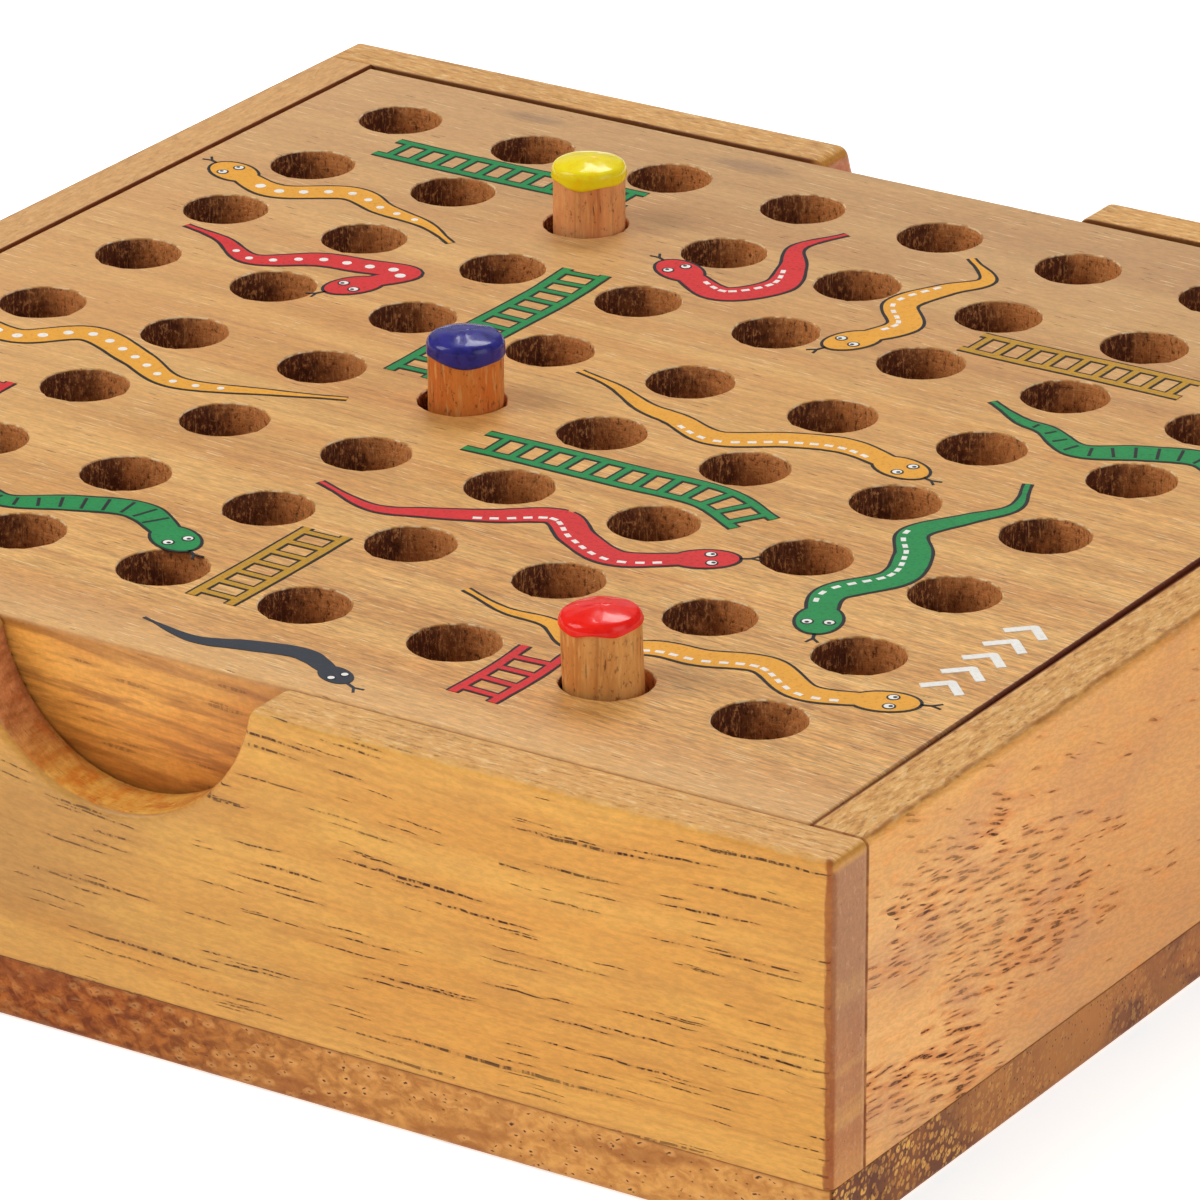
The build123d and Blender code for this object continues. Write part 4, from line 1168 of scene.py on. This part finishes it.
def ladder(points, colour, half=2.1, rail=0.42, rung=0.34, step=2.7, seed=1.0, outline=0.26):
    """Two rails and evenly spaced rungs."""
    path = spline(points)
    run, side = along_of(path)
    total = run[-1]
    edge = rough_edge(seed, 0.035)
    rails = []
    for s in (-1, 1):
        rails.append([p + n * half * s for p, n in zip(path, side)])
    rungs = []
    s = step * 0.5
    while s < total - step * 0.3:
        p, n = at(path, run, side, s)
        rungs.append([p - n * half, p + n * half])
        s += step
    lay("black", "under",
        [q for r in rails for q in strip_polys(r, lambda k: rail + outline + edge(k, 2.0))]
        + [q for r in rungs for q in strip_polys(r, lambda k: rung + outline)])
    lay(colour, "fill",
        [q for r in rails for q in strip_polys(r, lambda k: rail + edge(k, 3.0))]
        + [q for r in rungs for q in strip_polys(r, lambda k: rung)])


def chevrons(x, y, step, n, half=2.0, stroke=0.45):
    """A row of plain chevrons that points along +Y."""
    for k in range(n):
        c = y + k * step
        lay("white", "mark", strip_polys([Vector((x - half, c - half * 0.55)), Vector((x, c + half * 0.45))], lambda k: stroke)
            + strip_polys([Vector((x, c + half * 0.45)), Vector((x + half, c - half * 0.55))], lambda k: stroke)
            + [disc_poly(Vector((x, c + half * 0.45)), stroke, 14)])


# serpents
snake([(60.5, -44.5), (54.5, -46.2), (48.5, -43.0), (43.0, -44.6), (38.4, -45.0), (32.5, -48.0), (27.5, -45.2), (22.5, -44.9), (17.0, -42.8)],
      "orange", seed=1.1, marks="belly")
snake([(17.5, -64.6), (13.0, -62.6), (8.0, -63.6), (3.0, -65.0), (-3.5, -63.4)], "slate", body=1.15, head=1.9, seed=2.2, marks="none")
snake([(-36.0, -61.2), (-41.0, -63.6), (-46.0, -62.6), (-51.0, -61.9), (-57.0, -63.6)], "slate", body=1.15, head=1.9, seed=3.3, marks="none")
snake([(46.8, -31.0), (45.0, -26.0), (48.0, -20.0), (46.6, -14.6), (44.0, -10.0), (46.4, -4.6), (48.6, 0.0), (46.8, 5.6)],
      "green", seed=4.4, marks="belly")
snake([(30.5, -26.0), (24.5, -29.6), (19.0, -27.4), (14.6, -24.2), (9.5, -27.2), (4.0, -29.8), (-1.0, -31.4), (-8.4, -28.8)],
      "red", seed=5.5, marks="belly")
snake([(-12.5, -46.6), (-18.5, -43.4), (-24.6, -45.2), (-30.5, -48.0), (-36.0, -45.2), (-41.2, -44.8)],
      "green", seed=6.6, marks="bars")
snake([(-60.5, -12.4), (-54.0, -13.8), (-48.5, -9.6), (-41.0, -12.4), (-34.0, -15.6), (-25.0, -12.9), (-18.0, -10.4)],
      "orange", seed=7.7, marks="dots")
snake([(34.0, 3.0), (28.0, 4.6), (22.6, 3.1), (16.6, -0.2), (11.0, 1.8), (6.8, 2.9), (1.6, 5.8), (-3.4, 7.4)],
      "orange", seed=8.8, marks="belly")
snake([(-34.0, 15.6), (-32.0, 20.2), (-37.0, 19.6), (-41.4, 18.8), (-47.0, 15.4), (-52.6, 18.4), (-58.0, 19.8)],
      "red", seed=9.9, marks="dots")
snake([(62.0, 16.0), (57.5, 19.4), (52.0, 17.8), (46.6, 15.2), (41.6, 18.0), (38.4, 18.8), (33.6, 21.6)],
      "green", seed=10.3, marks="bars")
snake([(14.6, 29.0), (16.4, 34.2), (13.2, 39.0), (14.8, 44.6), (17.0, 49.0), (12.6, 53.4)],
      "orange", seed=11.4, marks="belly")
snake([(-9.0, 34.8), (-3.0, 32.0), (0.5, 36.6), (-1.0, 42.0), (-3.4, 47.0), (-1.2, 52.6)],
      "red", seed=12.5, marks="belly")
snake([(-62.0, 34.6), (-56.0, 32.6), (-49.4, 36.0), (-44.0, 34.0), (-38.0, 32.6), (-33.0, 29.6)],
      "orange", seed=13.6, marks="dots")
# ladders
ladder([(30.7, -62.5), (30.9, -56.0), (30.6, -50.5)], "red", seed=1.5)
ladder([(-0.9, -57.0), (-0.8, -48.0), (-0.9, -38.5)], "gold", seed=2.5)
ladder([(30.6, -16.0), (24.0, -12.7), (14.8, -12.6), (4.0, -12.5), (-2.0, -12.6)], "green", seed=3.5)
ladder([(-49.0, -56.0), (-49.2, -44.0), (-49.1, -32.0), (-49.3, -24.0)], "red", seed=4.5)
ladder([(-16.8, -2.0), (-16.9, 10.0), (-16.7, 22.0), (-17.2, 30.0)], "green", seed=5.5)
ladder([(64.0, 30.0), (63.8, 40.0), (64.1, 52.0)], "red", seed=6.5)
ladder([(48.0, 33.9), (38.0, 34.0), (30.0, 33.9), (24.0, 34.0)], "gold", seed=7.5)
ladder([(-24.0, 49.4), (-34.0, 49.2), (-46.0, 49.1), (-54.0, 49.3)], "green", seed=8.5)
chevrons(64.2, -38.5, 3.6, 5)

for colour, (material, slot_name) in INKS.items():
    groups = printed.polys.get(colour)
    if not groups:
        continue
    v, f = printed.shells(groups)
    o = new_object(f"print_{colour}", v, f, material, smooth=False)
    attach(o, "board")


# ------------------------------------------------------------------- paint caps
def paint_cap(name, foot, axis, body, material, drip, seed, across=(1, 0, 0)):
    """Enamel on a peg's top: a skin over the dome that ends in an uneven, thick lower edge. drip(t) is how far down
    the side it runs, in mm below the rim, at angle t."""
    r, length, dome, rim = 3.6, 18.2, 0.7, 0.7
    z_axis = Vector(axis).normalized()
    x_axis = Vector(across) - z_axis * Vector(across).dot(z_axis)
    x_axis.normalize()
    y_axis = z_axis.cross(x_axis)
    n_around = 128

    dome_r = (r * r + dome * dome) / (2 * dome)
    dome_z = length + dome - dome_r
    bend_x = r - rim
    bend_z = dome_z + math.sqrt((dome_r - rim) ** 2 - bend_x ** 2)
    turn_in = math.atan2(bend_x, bend_z - dome_z)

    def outline(t):
        """Radius and height pairs from the lower edge over the top to the axis: the peg's own outline, a skin proud."""
        low = bend_z - drip(t)
        skin = 0.12 + 0.03 * noise.noise(Vector((seed, 2.0 * math.cos(t), 2.0 * math.sin(t))))
        body_h = bend_z - low
        pts = [(r - 0.10, low + 0.03), (r + 0.01, low), (r + skin * 0.8, low + 0.05), (r + skin * 1.35, low + 0.05 + body_h * 0.18),
               (r + skin * 1.15, low + 0.05 + body_h * 0.4)]
        for k in range(1, 6):
            f = k / 5
            pts.append((r + skin * (1.15 - 0.15 * f), low + 0.05 + body_h * 0.4 + (body_h * 0.6 - 0.05) * f))
        for k in range(1, 10):
            w = (math.pi / 2 - turn_in) * k / 9
            pts.append((bend_x + (rim + skin) * math.cos(w), bend_z + (rim + skin) * math.sin(w)))
        for k in range(1, 14):
            q = turn_in * (1 - k / 14)
            pts.append(((dome_r + skin) * math.sin(q), dome_z + (dome_r + skin) * math.cos(q)))
        return pts

    verts, faces = [], []
    rings = [outline(2 * math.pi * k / n_around) for k in range(n_around)]
    rows = len(rings[0])
    for k, ring in enumerate(rings):
        t = 2 * math.pi * k / n_around
        for j, (rr, h) in enumerate(ring):
            lump = 0.05 * noise.noise(Vector((seed * 3, rr * math.cos(t) * 0.6, rr * math.sin(t) * 0.6))) + 0.03 if h > length else 0.0
            p = Vector(foot) + x_axis * rr * math.cos(t) + y_axis * rr * math.sin(t) + z_axis * (h + lump)
            verts.append(tuple(p))
    for k in range(n_around):
        m = (k + 1) % n_around
        for j in range(rows - 1):
            faces.append([k * rows + j, m * rows + j, m * rows + j + 1, k * rows + j + 1])
    apex = len(verts)
    verts.append(tuple(Vector(foot) + z_axis * (length + dome + 0.12)))
    for k in range(n_around):
        m = (k + 1) % n_around
        faces.append([k * rows + rows - 1, m * rows + rows - 1, apex])
    # the underside, inside the wood, closes the skin
    inner = len(verts)
    verts.append(tuple(Vector(foot) + z_axis * (length - 2.5)))
    for k in range(n_around):
        m = (k + 1) % n_around
        faces.append([m * rows, k * rows, inner])
    o = new_object(name, verts, faces, material)
    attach(o, body)
    return o


def hump(t, at_deg, width_deg):
    d = (math.degrees(t) - at_deg + 180) % 360 - 180
    return math.exp(-((d / width_deg) ** 2))


red_paint = paint("paint_red", (255, 36, 22), (240, 22, 14), seed=1.0)
blue_paint = paint("paint_blue", (56, 52, 142), (38, 36, 112), seed=5.0)
yellow_paint = paint("paint_yellow", (255, 234, 30), (255, 218, 12), seed=9.0)
green_paint = paint("paint_green", (24, 140, 66), (16, 116, 52), seed=13.0)

lean = math.radians(2.4)
ld = (-math.cos(math.radians(32.83)), -math.sin(math.radians(32.83)))
red_foot = (HOLES[1][0] - ld[0] * 0.20, HOLES[1][1] - ld[1] * 0.20, HOLE_FLOOR + 3.6 * math.sin(lean) + 0.02)
red_axis = (ld[0] * math.sin(lean), ld[1] * math.sin(lean), math.cos(lean))
paint_cap("red_peg_paint", red_foot, red_axis, "red_peg", red_paint,
          lambda t: 0.14 + 0.36 * hump(t, 322, 20) + 0.22 * hump(t, 262, 16) + 0.10 * math.sin(3 * t + 1), 1.0)
paint_cap("blue_peg_paint", (HOLES[28][0] + 0.32, HOLES[28][1] + 0.20, HOLE_FLOOR), (0, 0, 1), "blue_peg", blue_paint,
          lambda t: 0.95 + 0.35 * hump(t, 320, 40) + 0.12 * math.sin(4 * t), 2.0)
paint_cap("yellow_peg_paint", (HOLES[53][0] + 0.28, HOLES[53][1] + 0.18, HOLE_FLOOR), (0, 0, 1), "yellow_peg",
          yellow_paint, lambda t: 0.75 + 0.3 * hump(t, 290, 35) + 0.1 * math.sin(5 * t + 2), 3.0)
paint_cap("green_peg_paint", (-56.0, -40.0, 6.0 + 3.6 + 0.05), (0, 1, 0), "green_peg", green_paint,
          lambda t: 0.6 + 0.3 * hump(t, 90, 35) + 0.12 * math.sin(3 * t + 2), 4.0)


# ------------------------------------------------------------- floor and lights
def floor_material():
    g = Graph("stage_floor")
    spot = g.noise(g.P, scale=0.02, detail=3.0)
    n = g.new("ShaderNodeBsdfPrincipled")
    n.inputs["Roughness"].default_value = 0.9
    n.inputs["Specular IOR Level"].default_value = 0.0
    g.put(n.inputs["Base Color"], g.gain((0.785, 0.79, 0.80, 1.0), g.mad(spot, 0.04, 0.98)))
    n.inputs["Emission Color"].default_value = (0.925, 0.985, 1.0, 1.0)
    reach = g.vmath("LENGTH", g.vec(g.x, g.y, 0.0))
    g.put(n.inputs["Emission Strength"], g.mad(g.step(reach, 450.0, 2200.0), 0.50, 0.67))
    out = g.new("ShaderNodeOutputMaterial")
    g.put(out.inputs["Surface"], n.outputs[0])
    return g.mat


bm = bmesh.new()
ring = [bm.verts.new((6.0 * math.cos(t), 6.0 * math.sin(t), -0.0001)) for t in [2 * math.pi * k / 96 for k in range(96)]]
bm.faces.new(ring)
floor_mesh = bpy.data.meshes.new("stage_floor")
bm.to_mesh(floor_mesh)
bm.free()
floor_mesh.materials.append(floor_material())
floor = bpy.data.objects.new("stage_floor", floor_mesh)
bpy.context.scene.collection.objects.link(floor)

world = bpy.data.worlds.new("studio")
bpy.context.scene.world = world
world.use_nodes = True
wt = world.node_tree
wt.nodes.clear()
w_out = wt.nodes.new("ShaderNodeOutputWorld")
w_mix = wt.nodes.new("ShaderNodeMixShader")
w_seen = wt.nodes.new("ShaderNodeBackground")
w_light = wt.nodes.new("ShaderNodeBackground")
w_path = wt.nodes.new("ShaderNodeLightPath")
w_seen.inputs["Color"].default_value = (1, 1, 1, 1)
w_seen.inputs["Strength"].default_value = 1.1
w_light.inputs["Color"].default_value = (1.0, 0.99, 0.98, 1)
w_light.inputs["Strength"].default_value = 0.30
w_shine = wt.nodes.new("ShaderNodeBackground")
w_shine.inputs["Color"].default_value = (1.0, 0.99, 0.98, 1)
w_shine.inputs["Strength"].default_value = 0.09
w_split = wt.nodes.new("ShaderNodeMixShader")
wt.links.new(w_path.outputs["Is Glossy Ray"], w_split.inputs[0])
wt.links.new(w_light.outputs[0], w_split.inputs[1])
wt.links.new(w_shine.outputs[0], w_split.inputs[2])
wt.links.new(w_path.outputs["Is Camera Ray"], w_mix.inputs[0])
wt.links.new(w_split.outputs[0], w_mix.inputs[1])
wt.links.new(w_seen.outputs[0], w_mix.inputs[2])
wt.links.new(w_mix.outputs[0], w_out.inputs["Surface"])


def softbox(name, place, target, size, power, colour=(1, 1, 1)):
    light = bpy.data.lights.new(name, "AREA")
    light.shape = "RECTANGLE"
    light.size, light.size_y = size
    light.energy = power
    light.color = colour
    o = bpy.data.objects.new(name, light)
    o.location = place
    o.rotation_mode = "QUATERNION"
    o.rotation_quaternion = (Vector(target) - Vector(place)).to_track_quat("-Z", "Y")
    o.visible_camera = False
    bpy.context.scene.collection.objects.link(o)
    return o


# broad overhead light, a key from the left of the camera, a weaker one from the right, and a card behind the box
# whose reflection gives the varnish its sheen
softbox("overhead", (-0.46, 1.16, 1.55), (0, 0, 0.02), (0.75, 0.6), 13.0)
softbox("key", (-0.95, -0.65, 1.0), (0, 0, 0.02), (0.8, 0.8), 10.5, (1.0, 0.985, 0.96))
softbox("fill", (1.25, -0.15, 0.6), (0, 0, 0.02), (0.8, 0.9), 4.2, (1.0, 0.99, 0.98))
softbox("card", (-0.95, 1.25, 0.55), (0, 0, 0.03), (1.0, 0.6), 0.7)

# ------------------------------------------------------------------------ camera
cam_data = bpy.data.cameras.new("camera")
cam_data.sensor_width = 36.0
cam_data.sensor_fit = "HORIZONTAL"
cam_data.lens = 8499.18 / 1200.0 * 36.0
cam_data.clip_start, cam_data.clip_end = 0.05, 20.0
cam_data.dof.use_dof = False
cam = bpy.data.objects.new("camera", cam_data)
bpy.context.scene.collection.objects.link(cam)
right = Vector((0.8404649375, 0.5418598375, -0.0025700901))
down = Vector((0.2091404351, -0.3287606014, -0.9209651163))
ahead = Vector((-0.4998789526, 0.7735013791, -0.3896365605))
spot = Vector((0.40600, -0.62272, 0.33083))
cam.matrix_world = Matrix((
    (right.x, -down.x, -ahead.x, spot.x),
    (right.y, -down.y, -ahead.y, spot.y),
    (right.z, -down.z, -ahead.z, spot.z),
    (0, 0, 0, 1),
))
bpy.context.scene.camera = cam
bpy.context.scene.view_settings.view_transform = "Standard"
